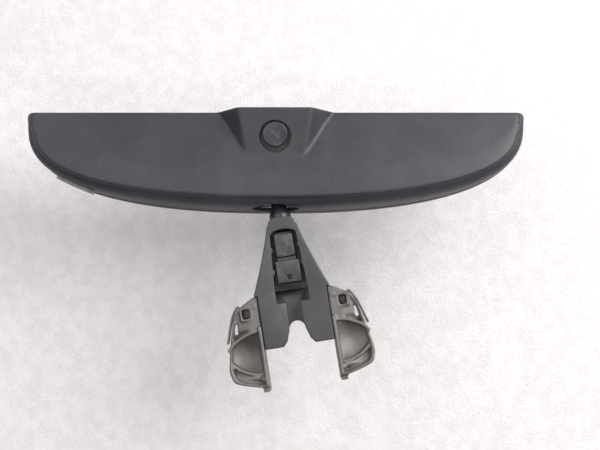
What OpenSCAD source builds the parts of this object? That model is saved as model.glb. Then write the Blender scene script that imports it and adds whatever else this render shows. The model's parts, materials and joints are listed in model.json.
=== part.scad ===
// Interior rearview mirror: an automatic dimming head on a ball joint, and the arm and foot that hold it
// to a windscreen. +X runs along the head, +Y faces the windscreen, +Z is up. The origin is the middle of the
// plane in which the foot seats on the windscreen.

/* [Head] */
// Width of the head
head_w = 250; // [200:1:300]
// Height of the head at its middle, from the straight edge to the crown
head_h = 50; // [45:1:60]
// Depth of the head at its crown
crown_depth = 27; // [26:0.5:30]
// Depth of the head at its straight edge
chin_depth = 16; // [14:0.5:20]
// How far the walls of the casing lean in from the rim to the back
casing_draft = 4; // [2:0.5:6]
// Radius of the edge between the curved wall and the back
crown_radius = 3; // [1.5:0.5:5]
// Radius of the edge between the straight wall and the back
chin_radius = 1.2; // [0.8:0.1:2]
// Wall of the casing
casing_wall = 2; // [1.6:0.1:2.4]
// Depth of the front bezel
bezel_depth = 4.5; // [4:0.5:6]
// Width of the bezel's face around the glass
bezel_face = 2.4; // [2:0.1:3]

/* [Sensor plateau] */
// Half the width of the raised plateau at the straight edge
plateau_half_chin = 18.4; // [16:0.1:22]
// Half the width of the raised plateau where it runs out
plateau_half_top = 14; // [12:0.1:16]
// Height up the head at which the plateau runs out
plateau_run = 30; // [26:1:34]
// Height of the plateau over the straight edge of the back
plateau_rise = 11; // [8:0.5:13]
// How much wider the plateau is at its foot than at its top
plateau_flank = 12; // [8:0.5:14]
// Diameter of the round sensor recess
recess_d = 15.4; // [12.5:0.1:18.5]
// Even gap between the sensor cap and the wall of its recess, before the cap is shifted
cap_gap = 1.6; // [1.3:0.1:2.4]
// How far the cap stands out of the plateau
cap_proud = 1; // [0.5:0.1:2]
// Height of the recess up the head
recess_z = 15.2; // [13:0.1:17]
// Offset of the cap in its recess, towards the straight edge
cap_shift = 1.1; // [0:0.1:1.3]

/* [Glass] */
// Thickness of the front glass
front_glass_t = 1.6; // [1.2:0.1:2]
// Thickness of the rear glass, which carries the mirror coating
rear_glass_t = 1.6; // [1.2:0.1:2]
// Thickness of the seal between the two glasses
seal_t = 0.4; // [0.3:0.1:0.6]
// Width of the seal
seal_w = 2.2; // [1.6:0.1:3]
// Thickness of the foam behind the rear glass
foam_t = 0.8; // [0.5:0.1:1]
// Thickness of the glass carrier plate
carrier_t = 2; // [1.6:0.1:2.4]

/* [Ball joint] */
// Radius of the ball
ball_r = 6.2; // [5.8:0.1:6.4]
// Radius of the neck beside the ball
neck_r = 3.4; // [3.2:0.1:3.8]
// Bore through the ball and the neck for the lead
ball_bore_d = 3.6; // [3:0.1:4.2]
// Thickness of the liner around the ball
liner_t = 0.9; // [0.8:0.05:1]
// Thickness of the cup around the liner
cup_t = 1; // [0.9:0.05:1.1]
// Running clearance of each spherical face
ball_fit = 0.05; // [0.03:0.01:0.1]
// Distance from the crown of the head down to the ball centre
ball_below_crown = 11.5; // [10.5:0.1:13]
// Depth of the ball centre behind the front of the bezel
ball_y = 13.5; // [13.5:0.1:14]
// Width of the slot through which the neck leaves the head
slot_w = 23; // [20:0.5:26]
// Depth of that slot
slot_d = 15; // [14:0.5:16]
// Half the angle of the opening in the liner and the cup on the neck's side
neck_opening = 62; // [58:1:66]
// Half the angle of the opening in the liner and the cup on the lead's side
lead_opening = 48; // [44:1:54]

/* [Arm] */
// Lean of the arm from the head's upright
arm_lean = 9; // [0:1:12]
// Thickness of the stem cover
cover_t = 16; // [13:0.1:19.5]
// Wall of the stem cover under the connector channel
cover_floor = 1.6; // [1.2:0.1:2]
// Distance from the ball centre to the start of the stem cover
stem_start = 17.5; // [17:0.5:19]
// Half the width of the stem cover where it starts
stem_half_start = 6.8; // [6.4:0.1:8]
// Half the width of the stem cover where it meets the wings
stem_half_end = 18.5; // [18:0.5:21]
// Distance from the ball centre to the start of the wings
wing_start = 52.5; // [50:0.5:56]
// Distance from the ball centre to the ends of the legs
leg_end = 77.8; // [75:0.1:83]
// Distance from the ball centre to the notch between the legs
notch_start = 66.2; // [64:0.1:70]
// Width of the notch
notch_w = 8; // [6:0.5:9]
// Width of the connector channel at its start
channel_w_start = 12.8; // [12.4:0.1:14]
// Width of the connector channel at its end
channel_w_end = 16; // [15:0.1:18]
// Depth of the connector channel
channel_depth = 9.5; // [8.5:0.1:10]

/* [Foot] */
// Half the distance between the wings' inner edges
wing_inner = 17; // [16.5:0.1:19]
// Half the width over both wings
wing_outer = 34.6; // [33:0.1:40]
// Distance from the ball centre to the ends of the wings
wing_end = 95; // [92:0.5:104]
// Wall of the wings
wing_wall = 2; // [1.8:0.1:2.4]
// Floor of the wings
wing_floor = 2; // [1.6:0.1:2.6]
// Depth of the wings, from their floor to their rim
wing_depth = 18; // [16:0.5:20]
// Height of the seats over the rim of the wings
pad_h = 1; // [0.6:0.1:1.4]
// Diameter of a seat, which bears on the windscreen's bracket
pad_d = 4; // [3:0.5:4.5]
// Thickness of a spring clip
clip_t = 0.8; // [0.5:0.1:1]
// Width of a spring clip
clip_w = 6; // [4:0.5:8]

/* [Connectors] */
// Width of the harness plug
plug_w = 8.8; // [8:0.1:10]
// Length of the harness plug
plug_l = 11.8; // [10:0.1:13]
// Width of the socket header
header_w = 11.3; // [10:0.1:12]
// Length of the socket header
header_l = 10.5; // [9:0.1:12]
// Diameter of the lead
lead_d = 2.6; // [2:0.1:2.8]

/* [Hidden] */

$fn = 48;
slack = 0.3;          // gap between neighbouring pieces that only lie side by side
snug = 0.1;           // gap between pieces that locate each other
sliver = 0.01;        // overshoot of a cut

// Head, in its own frame: Y = 0 is the bezel's face, Z = 0 the straight edge
outline_power = 2.3;
outline_round = 0.36;
corner_r = 2.6;
rim_inset = 0.5;
half_w = head_w / 2;
glass_y = 0.4;
rear_glass_y = glass_y + front_glass_t + seal_t;
foam_y = rear_glass_y + rear_glass_t;
carrier_y = foam_y + foam_t;
carrier_back = carrier_y + carrier_t;
board_t = 1.6;
board_y = carrier_back + 2.4;
board_half = 58;
board_z0 = 4.5;
board_z1 = 20;
chip_y = board_y + board_t;

// Ball joint
ball_z = head_h - ball_below_crown;
liner_in = ball_r + ball_fit;
liner_out = liner_in + liner_t;
cup_in = liner_out + ball_fit;
cup_out = cup_in + cup_t;
seat_in = cup_out + ball_fit;
seat_wall = 2.4;
seat_r = seat_in + seat_wall;
seat_low = ball_z - 9.6;
seat_port = 5.2;      // radius of the lead's way through the seat and its spring
seat_split = ball_z + 0.4;
back_slope = atan((crown_depth - chin_depth) / (head_h - casing_draft));
seat_high = ball_z + 4.4;

// Arm, in its own frame: Z runs from the ball centre to the foot, Y faces the windscreen
cover_half = cover_t / 2;
channel_start = stem_start + 4.3;
channel_end = notch_start - 15;
channel_floor = cover_half - channel_depth;
saddle_w = 7.5;
saddle_step = 3;
saddle_t = 2;         // thickness of the casting under the stem cover
spine_half = 4.6;
spine_t = 3.2;
spine_top = channel_floor - cover_floor;
spine_low = spine_top - spine_t;
wing_low = -cover_half - saddle_t;
wing_rim = wing_low + wing_depth;
shank_r = 5.3;
socket_w = 4;
plug_at = channel_start + 1.4;
header_at = plug_at + plug_l + 2.2;
seat_face = wing_rim + pad_h;

// Place of the ball centre from the middle of the seat plane
lean = [0, arm_lean, 0];
seat_ends = [wing_start + 4, wing_end - 4];
seat_middle = (seat_ends[0] + seat_ends[1]) / 2;
ball_at = [-seat_middle * sin(arm_lean), -seat_face, -seat_middle * cos(arm_lean)];

module at_head() {
    translate(ball_at - [0, ball_y, ball_z]) children();
}

module at_ball() {
    translate(ball_at) children();
}

module at_arm() {
    translate(ball_at) rotate(lean) children();
}

// A slab from y0 to y1 whose outline is drawn in X and Z
module slab(y0, y1) {
    translate([0, y1, 0]) rotate([90, 0, 0]) linear_extrude(y1 - y0) children();
}

module both_sides() {
    children();
    mirror([1, 0, 0]) children();
}

// ---------- Shape of the head ----------

// Outline of the head in X and Z: a straight lower edge, two round corners and the crowned upper edge
function head_outline(inset, steps = 22) = let (
        a = half_w - inset,
        z0 = inset,
        h = head_h - inset,
        r = corner_r
    ) concat(
        [for (i = [0:4]) let (t = -90 + 90 * i / 4) [a - r + r * cos(t), z0 + r + r * sin(t)]],
        [for (i = [1:2 * steps - 1]) let (t = 90 * i / steps)
            [a * sign(cos(t)) * pow(abs(cos(t)), 2 / outline_power),
                z0 + r + (h - z0 - r) * pow(sin(t), 2 * outline_round)]],
        [for (i = [0:4]) let (t = 180 + 90 * i / 4) [-(a - r) + r * cos(t), z0 + r + r * sin(t)]]
    );

// Depth of the back over the height z
function back_depth(z) = chin_depth + (crown_depth - chin_depth) * z / (head_h - casing_draft);

// Radius of the back's edge at a height: tight along the straight edge, larger around the crown
function edge_radius(z) = let (t = min(1, z / 12))
    chin_radius + (crown_radius - chin_radius) * t * t * (3 - 2 * t);

// One ring of the casing: the straight edge leans in by less than the curved wall does
function ring(level, angle, wall) = [for (p = head_outline(rim_inset + wall)) let (
        t = min(1, p[1] / 12),
        r = edge_radius(p[1]),
        lean_in = casing_draft * (0.15 + 0.85 * t) * level + r * (1 - cos(angle)),
        scale_x = (half_w - lean_in) / half_w,
        mid = head_h * 0.3,
        z = p[1] > mid ? mid + (p[1] - mid) * (head_h - mid - lean_in) / (head_h - mid)
            : mid - (mid - p[1]) * (mid - lean_in) / mid,
        x = p[0] * scale_x,
        deep = back_depth(z) - wall
    ) [x, bezel_depth + (deep - r - bezel_depth) * level + r * sin(angle) * (level < 1 ? 0 : 1), z]];

function flatten(list) = [for (a = list) for (b = a) b];

module loft(rings) {
    n = len(rings[0]);
    last = len(rings) - 1;
    points = flatten(rings);
    sides = [for (k = [0:last - 1]) for (i = [0:n - 1]) let (j = (i + 1) % n) each [
        [k * n + i, k * n + j, (k + 1) * n + j],
        [k * n + i, (k + 1) * n + j, (k + 1) * n + i]]];
    caps = [[for (i = [n - 1:-1:0]) i], [for (i = [0:n - 1]) last * n + i]];
    polyhedron(points, concat(sides, caps));
}

module casing_form(wall) {
    loft(concat(
        [ring(0, 0, wall)],
        [for (a = [0:30:90]) ring(1, a, wall)]));
}

// The sensor plateau: a block with sloping flanks and an outer face that runs out into the back
module plateau_form(wall) {
    z0 = casing_draft * 0.15 + chin_radius * 0.5 + rim_inset + wall;
    y0 = bezel_depth + 2;
    y_chin = chin_depth + plateau_rise - wall;
    y_top = back_depth(plateau_run) - wall - 0.2;
    foot = plateau_flank;
    low = plateau_half_chin - wall;
    top = plateau_half_top - wall;
    polyhedron(
        [[-low - foot, y0, z0], [low + foot, y0, z0], [top + foot / 3, y0, plateau_run],
            [-top - foot / 3, y0, plateau_run],
            [-low - foot, chin_depth - wall - 1, z0], [low + foot, chin_depth - wall - 1, z0],
            [low, y_chin, z0 + 0.6], [-low, y_chin, z0 + 0.6],
            [top, y_top, plateau_run], [-top, y_top, plateau_run]],
        [[3, 2, 1, 0], [0, 1, 5, 4], [4, 5, 6, 7], [1, 2, 5], [3, 0, 4], [5, 2, 8], [5, 8, 6], [4, 9, 3],
            [4, 7, 9], [7, 6, 8, 9], [2, 3, 9, 8]]);
}

plateau_slope = atan((chin_depth + plateau_rise - back_depth(plateau_run)) / plateau_run);
recess_y = chin_depth + plateau_rise - recess_z * tan(plateau_slope);
recess_depth = 3;
cap_d = recess_d - 2 * cap_gap;
cap_z = recess_z - cap_shift;

// The side opening: a lens between two arcs, on the curved wall
side_x = 27 - half_w;
side_l = 21;
side_h = 3.4;
side_turn = 2.5;      // the opening is turned this much from the wall's slope
side_flange = 0.7;    // thickness of the flange behind the wall
flange_drop = 0.8;    // the flange lies this much lower, clear of the curved wall
side_sunk = 0.9;
module lens(length, width) {
    r = (length * length / 4 + width * width / 4) / width;
    reach = asin(length / 2 / r);
    polygon([for (side = [1, -1]) for (i = [0:9]) let (t = reach * (2 * i / 10 - 1))
        [-side * r * sin(t), side * (r * cos(t) - r + width / 2)]]);
}
// Lies in the outer face of the curved wall, with Z out of the wall
side_y = 13;
function wall_rise(x) =
    corner_r + (head_h - corner_r) * pow(1 - pow(abs(x) / half_w, outline_power), outline_round);
side_slope = atan((wall_rise(side_x + 1) - wall_rise(side_x - 1)) / 2) + side_turn;
side_rise = wall_rise(side_x);
module at_side_opening() {
    level = (side_y - bezel_depth) / (crown_depth - bezel_depth);
    translate([side_x, side_y, side_rise - rim_inset - casing_draft * level])
        rotate([-10, -side_slope, 0]) children();
}

module neck_slot() {
    translate([0, ball_y, ball_z]) {
        both_sides() translate([(slot_w - slot_d) / 2, 0, 0]) cylinder(h = head_h, d = slot_d);
        translate([(slot_d - slot_w) / 2, -slot_d / 2, 0]) cube([slot_w - slot_d, slot_d, head_h]);
    }
}

end_post = [half_w - 25, 12];
mid_post = [half_w * 0.42, head_h - 16];
post_at = [[-end_post[0], end_post[1]], [-mid_post[0], mid_post[1]], mid_post, end_post];
post_r = 2.6;
screw_r = 1.1;
screw_head_r = 2.1;

module rear_casing() {
    color([0.22, 0.23, 0.26]) at_head() {
        difference() {
            union() {
                casing_form(0);
                plateau_form(0);
            }
            difference() {
                union() {
                    translate([0, -sliver, 0]) casing_form(casing_wall);
                    plateau_form(casing_wall);
                }
                translate([0, recess_y - recess_depth - casing_wall, recess_z]) rotate([-90, 0, 0])
                    cylinder(h = head_h, d = recess_d + 2 * casing_wall);
            }
            slab(bezel_depth - 1, bezel_depth + sliver) polygon(head_outline(rim_inset + casing_wall));
            translate([0, recess_y - recess_depth, recess_z]) rotate([-90, 0, 0])
                cylinder(h = head_h, d = recess_d);
            translate([0, 0, cap_z]) rotate([-90, 0, 0]) cylinder(h = head_h, d = cap_d - 3);
            neck_slot();
            at_side_opening() translate([0, 0, -casing_wall - 2]) linear_extrude(10) lens(side_l, side_h);
        }
        for (p = post_at) difference() {
            translate([p[0], carrier_back + snug, p[1]]) rotate([-90, 0, 0])
                cylinder(h = back_depth(p[1]) - casing_wall / 2 - carrier_back, r = post_r);
            translate([p[0], carrier_back, p[1]]) rotate([-90, 0, 0]) cylinder(h = 5, r = screw_r);
        }
    }
}

module front_bezel() {
    color([0.13, 0.13, 0.14]) at_head() difference() {
        slab(0, bezel_depth) polygon(head_outline(0));
        slab(-sliver, glass_y + front_glass_t) polygon(head_outline(bezel_face));
        slab(glass_y, bezel_depth + sliver) polygon(head_outline(bezel_face));
    }
}

glass_inset = bezel_face + snug;

module front_glass() {
    color([0.72, 0.78, 0.8, 0.5]) at_head()
        slab(glass_y, glass_y + front_glass_t) polygon(head_outline(glass_inset));
}

module edge_seal() {
    color([0.2, 0.2, 0.2]) at_head() difference() {
        slab(glass_y + front_glass_t, rear_glass_y) polygon(head_outline(glass_inset + 0.6));
        slab(glass_y, rear_glass_y + 1) polygon(head_outline(glass_inset + 0.6 + seal_w));
    }
}

glare_x = 0;
glare_z = 8;
glare_d = 5;

module rear_glass() {
    color([0.8, 0.82, 0.84]) at_head() difference() {
        slab(rear_glass_y, rear_glass_y + rear_glass_t) polygon(head_outline(glass_inset + 0.6));
        translate([glare_x, rear_glass_y - 1, glare_z]) rotate([-90, 0, 0]) cylinder(h = 4, d = glare_d);
    }
}

module foam_pad() {
    color([0.3, 0.3, 0.32]) at_head() difference() {
        slab(foam_y, foam_y + foam_t) polygon(head_outline(glass_inset + 5));
        translate([glare_x, foam_y - 1, glare_z]) rotate([-90, 0, 0]) cylinder(h = 4, d = glare_d + 2);
    }
}

// Spring strips along the glass edges that feed the dimming layer
module bus_clips() {
    color([0.75, 0.68, 0.5]) at_head() {
        for (p = [[-70, 1.6], [-30, 3.2]])
            slab(foam_y, foam_y + 0.4) translate([p[0], glass_inset + p[1]]) square([100, 1]);
    }
}

// The casing's inner wall has leaned in by this much at the carrier's back
carrier_inset = rim_inset + casing_wall + slack
    + casing_draft * (carrier_back - bezel_depth) / (chin_depth - casing_wall - crown_radius - bezel_depth);
rib_first = half_w - 62;
rib_pitch = 14;

module glass_carrier() {
    color([0.16, 0.16, 0.17]) at_head() {
        difference() {
            slab(carrier_y, carrier_back) polygon(head_outline(carrier_inset));
            translate([glare_x, 0, glare_z]) rotate([-90, 0, 0]) cylinder(h = 20, d = glare_d + 1);
            for (p = post_at) translate([p[0], 0, p[1]]) rotate([-90, 0, 0]) {
                cylinder(h = 20, r = screw_r + 0.2);
                cylinder(h = carrier_y + 1, r = screw_head_r + 0.2);
            }
            translate([0, 0, ball_z]) rotate([-90, 0, 0]) cylinder(h = 20, r = 5.4);
        }
        for (x = [-1, 1]) for (z = [board_z0 + 2, board_z1 - 2])
            translate([x * (board_half - 3), carrier_back, z]) rotate([-90, 0, 0])
                cylinder(h = board_y - carrier_back, r = 2);
        for (x = [-1, 1]) for (i = [0:2]) translate([x * (rib_first + rib_pitch * i) - 0.6, carrier_back, 6])
            cube([1.2, 4, 16 - 2 * i]);
    }
}

module carrier_screws() {
    color([0.5, 0.5, 0.52]) at_head() for (p = post_at) translate([p[0], 0, p[1]]) rotate([-90, 0, 0]) {
        translate([0, 0, carrier_y]) cylinder(h = 0.95, r = screw_head_r);
        translate([0, 0, carrier_y]) cylinder(h = 6.5, r = screw_r - 0.02);
    }
}

// ---------- Ball joint ----------

module sphere_shell(inner, outer) {
    difference() {
        sphere(outer, $fn = 96);
        sphere(inner, $fn = 96);
        cylinder(h = 2 * outer, r1 = 0, r2 = 2 * outer * tan(neck_opening));
        mirror([0, 0, 1]) cylinder(h = 2 * outer, r1 = 0, r2 = 2 * outer * tan(lead_opening));
    }
}

module ball_liner() {
    color([0.85, 0.84, 0.78]) at_ball() sphere_shell(liner_in, liner_out);
}

module socket_cup() {
    color([0.25, 0.25, 0.27]) at_ball() sphere_shell(cup_in, cup_out);
}

retainer_x = seat_r + 3.2;
ear_y = ball_y - 2;
ear = 3;

// Everything deeper than a plane under the casing's back
module behind_back(gap) {
    translate([-half_w, chin_depth - gap, 0]) rotate([-back_slope, 0, 0]) translate([0, 0, -head_h])
        cube([head_w, head_h, 3 * head_h]);
}

// Everything outside a slanting plane that touches the round inner edge between the crown and the back
module crown_corner(gap) {
    top = head_h - rim_inset - casing_wall - casing_draft;
    reach = (2 - sqrt(2)) * crown_radius + gap * sqrt(2);
    translate([-half_w, back_depth(top) - casing_wall, top - reach]) rotate([-45, 0, 0])
        translate([0, -head_h / 2, 0]) cube([head_w, head_h, head_h]);
}

// The seat holds the lower half of the cup; the retainer closes over it
module seat_block(z0, z1) {
    difference() {
        union() {
            translate([0, ball_y, z0]) cylinder(h = z1 - z0, r = seat_r);
            translate([-retainer_x - ear, carrier_back, z0])
                cube([2 * (retainer_x + ear), ear_y + ear - carrier_back, z1 - z0]);
        }
        translate([0, ball_y, ball_z]) sphere(seat_in, $fn = 96);
        translate([-head_w, carrier_back - 10, 0]) cube([2 * head_w, 10, head_h]);
        behind_back(casing_wall + slack);
        crown_corner(slack);
    }
}

module socket_seat() {
    color([0.62, 0.62, 0.64]) at_head() difference() {
        seat_block(seat_low, seat_split);
        translate([0, ball_y, 0]) cylinder(h = ball_z, r = seat_port);
        for (x = [-1, 1]) translate([x * retainer_x, ear_y, seat_low]) cylinder(h = 30, r = screw_r);
    }
}

module socket_retainer() {
    color([0.45, 0.45, 0.47]) at_head() difference() {
        seat_block(seat_split, seat_high);
        translate([0, ball_y, ball_z]) cylinder(h = 20, r1 = 0, r2 = 20 * tan(53));
        for (x = [-1, 1]) translate([x * retainer_x, ear_y, seat_low]) cylinder(h = 30, r = screw_r + 0.2);
        for (x = [-1, 1]) translate([x * retainer_x, ear_y, seat_high - 1.2]) cylinder(h = 30, r = 2.1);
    }
}

// Spring band under the seat that keeps the cup tight
module socket_spring() {
    color([0.7, 0.7, 0.72]) at_head() difference() {
        translate([0, ball_y, seat_low - 1.2]) cylinder(h = 1, r = seat_in);
        translate([0, ball_y, seat_low - 2]) cylinder(h = 3, r = seat_port);
        translate([-head_w, carrier_back - 10 + slack, 0]) cube([2 * head_w, 10, head_h]);
        behind_back(casing_wall + slack);
    }
}

module retainer_screws() {
    color([0.5, 0.5, 0.52]) at_head() for (x = [-1, 1]) translate([x * retainer_x, ear_y, 0]) {
        translate([0, 0, seat_high - 1.1]) cylinder(h = 1.3, r = 2);
        translate([0, 0, seat_high - 10]) cylinder(h = 9, r = screw_r - 0.02);
    }
}

module ball_stud() {
    color([0.6, 0.6, 0.62]) at_arm() difference() {
        union() {
            sphere(ball_r, $fn = 96);
            cylinder(h = 12, r = neck_r);
            translate([0, 0, 11]) cylinder(h = 5, r1 = neck_r, r2 = shank_r);
            translate([0, 0, 16]) cylinder(h = stem_start - 16 + socket_w, r = shank_r);
        }
        translate([0, 0, -ball_r - 1]) cylinder(h = 40, d = ball_bore_d);
        translate([0, 0, -ball_r - 1]) cylinder(h = 4, r1 = ball_bore_d, r2 = ball_bore_d / 2);
    }
}

// ---------- Electronics of the head ----------

module circuit_board() {
    color([0.1, 0.32, 0.2]) at_head() difference() {
        slab(board_y, board_y + board_t) translate([-board_half, board_z0])
            square([2 * board_half, board_z1 - board_z0]);
        translate([glare_x, 0, glare_z]) rotate([-90, 0, 0]) cylinder(h = 20, d = glare_d - 1.5);
    }
}

module on_board(x, z) {
    translate([x, chip_y, z]) children();
}

// The parts soldered to the board, as separate solids
module board_chips() {
    color([0.12, 0.12, 0.12]) at_head() {
        on_board(-22, 7) cube([9, 1.4, 9]);
        on_board(18, 8) cube([6, 1.2, 5]);
        on_board(-40, 8) cube([5, 2.2, 7]);
        for (i = [0:4]) on_board(30 + 4 * i, 8 + 3 * (i % 2)) cube([2, 0.8, 1.2]);
        for (i = [0:4]) on_board(-33 + 3 * i, 17) cube([1.2, 0.6, 2]);
    }
}

header_x = 8;
lead_head_z = ball_z - ball_r - 0.8;

module board_header() {
    color([0.9, 0.89, 0.84]) at_head() on_board(header_x, board_z1 - 6.4) difference() {
        cube([9, 4.6, 6]);
        translate([1, 1, 3]) cube([7, 2.8, 4]);
    }
}

module ambient_sensor() {
    color([0.85, 0.86, 0.88]) at_head() translate([0, chip_y, cap_z]) rotate([-90, 0, 0])
        cylinder(h = 1.6, d = 4.6);
}

tube_y = chip_y + 1.8;
tube_end = recess_y - recess_depth - casing_wall - 0.2;

// Light pipe from the window down to the sensor
module light_tube() {
    color([0.9, 0.92, 0.94, 0.7]) at_head() translate([0, tube_y, cap_z]) rotate([-90, 0, 0])
        cylinder(h = tube_end - tube_y, r1 = 2, r2 = (cap_d - 4) / 2);
}

module sensor_cap() {
    color([0.1, 0.1, 0.11]) at_head() translate([0, recess_y, cap_z]) rotate([-90 + plateau_slope, 0, 0]) {
        translate([0, 0, cap_proud - 0.9]) cylinder(h = 0.9, r1 = cap_d / 2, r2 = cap_d / 2 - 0.5);
        translate([0, 0, -1.2]) cylinder(h = 0.3 + cap_proud, d = cap_d);
    }
    color([0.1, 0.1, 0.11]) at_head() translate([0, recess_y - recess_depth - casing_wall, cap_z])
        rotate([-90, 0, 0]) cylinder(h = recess_depth + casing_wall - 0.6, d = cap_d - 3 - snug);
}

module glare_sensor() {
    color([0.8, 0.8, 0.82]) at_head() translate([glare_x, board_y - 1.7, glare_z]) rotate([-90, 0, 0])
        cylinder(h = 1.7, d = 3);
}

// Clear window through the mirror coating in front of the glare sensor
module glare_window() {
    color([0.85, 0.88, 0.9, 0.7]) at_head() translate([glare_x, rear_glass_y, glare_z]) rotate([-90, 0, 0])
        cylinder(h = rear_glass_t, d = glare_d - snug);
}

mic_x = -6.6;
mic_d = 2.6;
mic_h = 2;
insert_t = casing_wall + 0.9 - side_sunk;

// Ribbed insert behind the side opening, with a square port over the microphone
module side_insert() {
    color([0.42, 0.42, 0.43]) at_head() at_side_opening() translate([0, 0, -side_sunk - insert_t])
        difference() {
        union() {
            linear_extrude(insert_t) lens(side_l - 0.4, side_h - 0.3);
            translate([0, 0, -flange_drop]) linear_extrude(side_flange) lens(side_l + 2, side_h + 1.4);
        }
        for (i = [-1:3]) translate([i * 2.3 + 0.6, 0, insert_t]) cube([1.1, side_h, 0.9], center = true);
        translate([mic_x, 0, 0]) cube([1.8, 1.2, 3 * insert_t], center = true);
    }
}

module microphone() {
    color([0.3, 0.3, 0.31]) at_head() at_side_opening()
        translate([mic_x, 0, -side_sunk - insert_t - flange_drop - mic_h])
            cylinder(h = mic_h - snug, d = mic_d);
}

// A round tube along a list of points
function unit(v) = v / norm(v);
function tangent(p, i) = unit(p[min(i + 1, len(p) - 1)] - p[max(i - 1, 0)]);
module tube(p, d, sides = 8) {
    n = len(p);
    rings = [for (i = [0:n - 1]) let (t = tangent(p, i), a = unit(cross(t, [0.31, 1, 0.17])), b = cross(t, a))
        [for (k = [0:sides - 1]) p[i] + d / 2 * (cos(360 * k / sides) * a + sin(360 * k / sides) * b)]];
    points = flatten(rings);
    quads = [for (i = [0:n - 2]) for (k = [0:sides - 1]) let (m = (k + 1) % sides) each [
        [i * sides + k, (i + 1) * sides + k, (i + 1) * sides + m],
        [i * sides + k, (i + 1) * sides + m, i * sides + m]]];
    ends = [[for (k = [0:sides - 1]) k], [for (k = [sides - 1:-1:0]) (n - 1) * sides + k]];
    polyhedron(points, concat(quads, ends));
}

// Points of a smooth curve through the given ones
function between(p, i, t) = let (
        a = p[max(i - 1, 0)], b = p[i], c = p[i + 1], d = p[min(i + 2, len(p) - 1)]
    ) ((2 * b) + (c - a) * t + (2 * a - 5 * b + 4 * c - d) * t * t + (3 * b - 3 * c + d - a) * t * t * t) / 2;
function curve(p, steps) = concat([for (i = [0:len(p) - 2]) for (k = [0:steps - 1]) between(p, i, k / steps)],
    [p[len(p) - 1]]);

head_lead_end = [header_x + 4.5, chip_y + 2.4, board_z1 - 3.2];
module head_lead() {
    color([0.08, 0.08, 0.09]) at_head() tube(curve([
        [0, ball_y, lead_head_z], [0.5, ball_y, lead_head_z - 4], [6, ball_y + 1, board_z1 + 3.4],
        [head_lead_end[0], head_lead_end[1], board_z1 + 1.2], head_lead_end], 5), lead_d - 0.4);
}

module arm_lead() {
    color([0.08, 0.08, 0.09]) at_arm() translate([0, 0, 1 - ball_r])
        cylinder(h = plug_at - 1 + ball_r, d = lead_d);
}

// ---------- Connectors in the arm ----------

plug_low = channel_floor + 0.2;
plug_high = cover_half - 1.6;
header_high = cover_half - 1.2;

module harness_plug() {
    color([0.1, 0.1, 0.11]) at_arm() translate([-plug_w / 2, plug_low, plug_at]) difference() {
        union() {
            cube([plug_w, plug_high - plug_low, plug_l]);
            translate([plug_w / 2 - 1.6, plug_high - plug_low, 2]) cube([3.2, 0.7, plug_l - 3]);
        }
        for (x = [0.9, plug_w - 1.9]) translate([x, plug_high - plug_low - 0.5, 1.5])
            cube([1, 1, plug_l - 3]);
        for (i = [0:2]) translate([1.3 + 2.5 * i, 2.6, plug_l - 2.4]) cube([1.4, 1.6, 4]);
    }
}

module socket_header() {
    color([0.11, 0.11, 0.12]) at_arm() translate([-header_w / 2, plug_low, header_at]) difference() {
        union() {
            cube([header_w, header_high - plug_low, header_l]);
            translate([0.8, 1, -1.6]) cube([header_w - 1.6, header_high - plug_low - 2.6, 1.6]);
        }
        translate([header_w / 2 - 1, header_high - plug_low - 3, header_l - 3.6]) cube([2, 4, 2]);
        translate([1.2, 1.8, header_l - 6]) cube([header_w - 2.4, 3, 7]);
    }
}

module header_pins() {
    color([0.8, 0.75, 0.6]) at_arm() for (i = [-1:1])
        translate([2.5 * i - 0.3, plug_low + 3, header_at + header_l - 6]) cube([0.6, 0.6, 5]);
}

// ---------- Arm ----------

flare = 1.2;
function stem_half(w) = stem_half_start
    + (stem_half_end - stem_half_start) * pow((w - stem_start) / (wing_start - stem_start), flare);
leg_half = wing_inner - slack;
notch_r = notch_w / 2;
notch_flare = 1.6;
leg_tip = 7.6;

function cover_side() = concat(
    [for (i = [0:8]) let (w = stem_start + (wing_start - slack - stem_start) * i / 8) [stem_half(w), w]],
    [[leg_half, wing_start - slack], [leg_half, leg_end], [leg_tip, leg_end],
        [notch_r + notch_flare, leg_end - 2.4], [notch_r, notch_start + notch_r]],
    [for (a = [15:15:75]) [notch_r * cos(a), notch_start + notch_r - notch_r * sin(a)]],
    [[0, notch_start]]);

module mirrored_outline(side) {
    polygon(concat(side, [for (i = [len(side) - 1:-1:0]) [-side[i][0], side[i][1]]]));
}

module cover_channel() {
    mirrored_outline(concat(
        [[0, channel_start]],
        [for (a = [15:15:90]) [channel_w_start / 2 * sin(a), channel_start + 3 - 3 * cos(a)]],
        [[channel_w_end / 2, channel_end], [0, channel_end]]));
}

screw_u = 11;
screw_at = wing_start + 6.5;

module stem_cover() {
    color([0.28, 0.28, 0.3]) at_arm() difference() {
        slab(-cover_half, cover_half) mirrored_outline(cover_side());
        slab(channel_floor, cover_half + 1) cover_channel();
        // the saddle channel below the connectors, one step shallower
        slab(channel_floor + saddle_step, cover_half + 1) translate([-saddle_w / 2, channel_end - 1])
            square([saddle_w, notch_start - channel_end + 4]);
        slab(channel_floor + 2, cover_half + 1) translate([-channel_w_end / 2, channel_end - 1])
            square([channel_w_end, 6]);
        translate([-spine_half - snug, spine_low - snug, stem_start - 1])
            cube([2 * (spine_half + snug), spine_t + 2 * snug, saddle_end - stem_start + 1 + snug]);
        translate([-spine_half - snug, -cover_half - 1, wing_start + 2 - snug])
            cube([2 * (spine_half + snug), cover_half + spine_low + 2,
                saddle_end - wing_start - 2 + 2 * snug]);
        translate([0, 0, stem_start - 1]) cylinder(h = socket_w + 1 + snug, r = collar_r + snug);
        translate([0, 0, stem_start]) cylinder(h = 10, d = lead_d + 0.8);
        for (x = [-1, 1]) translate([x * screw_u, -cover_half - 1, screw_at]) rotate([-90, 0, 0])
            cylinder(h = 8, r = screw_r);
    }
}

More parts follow.
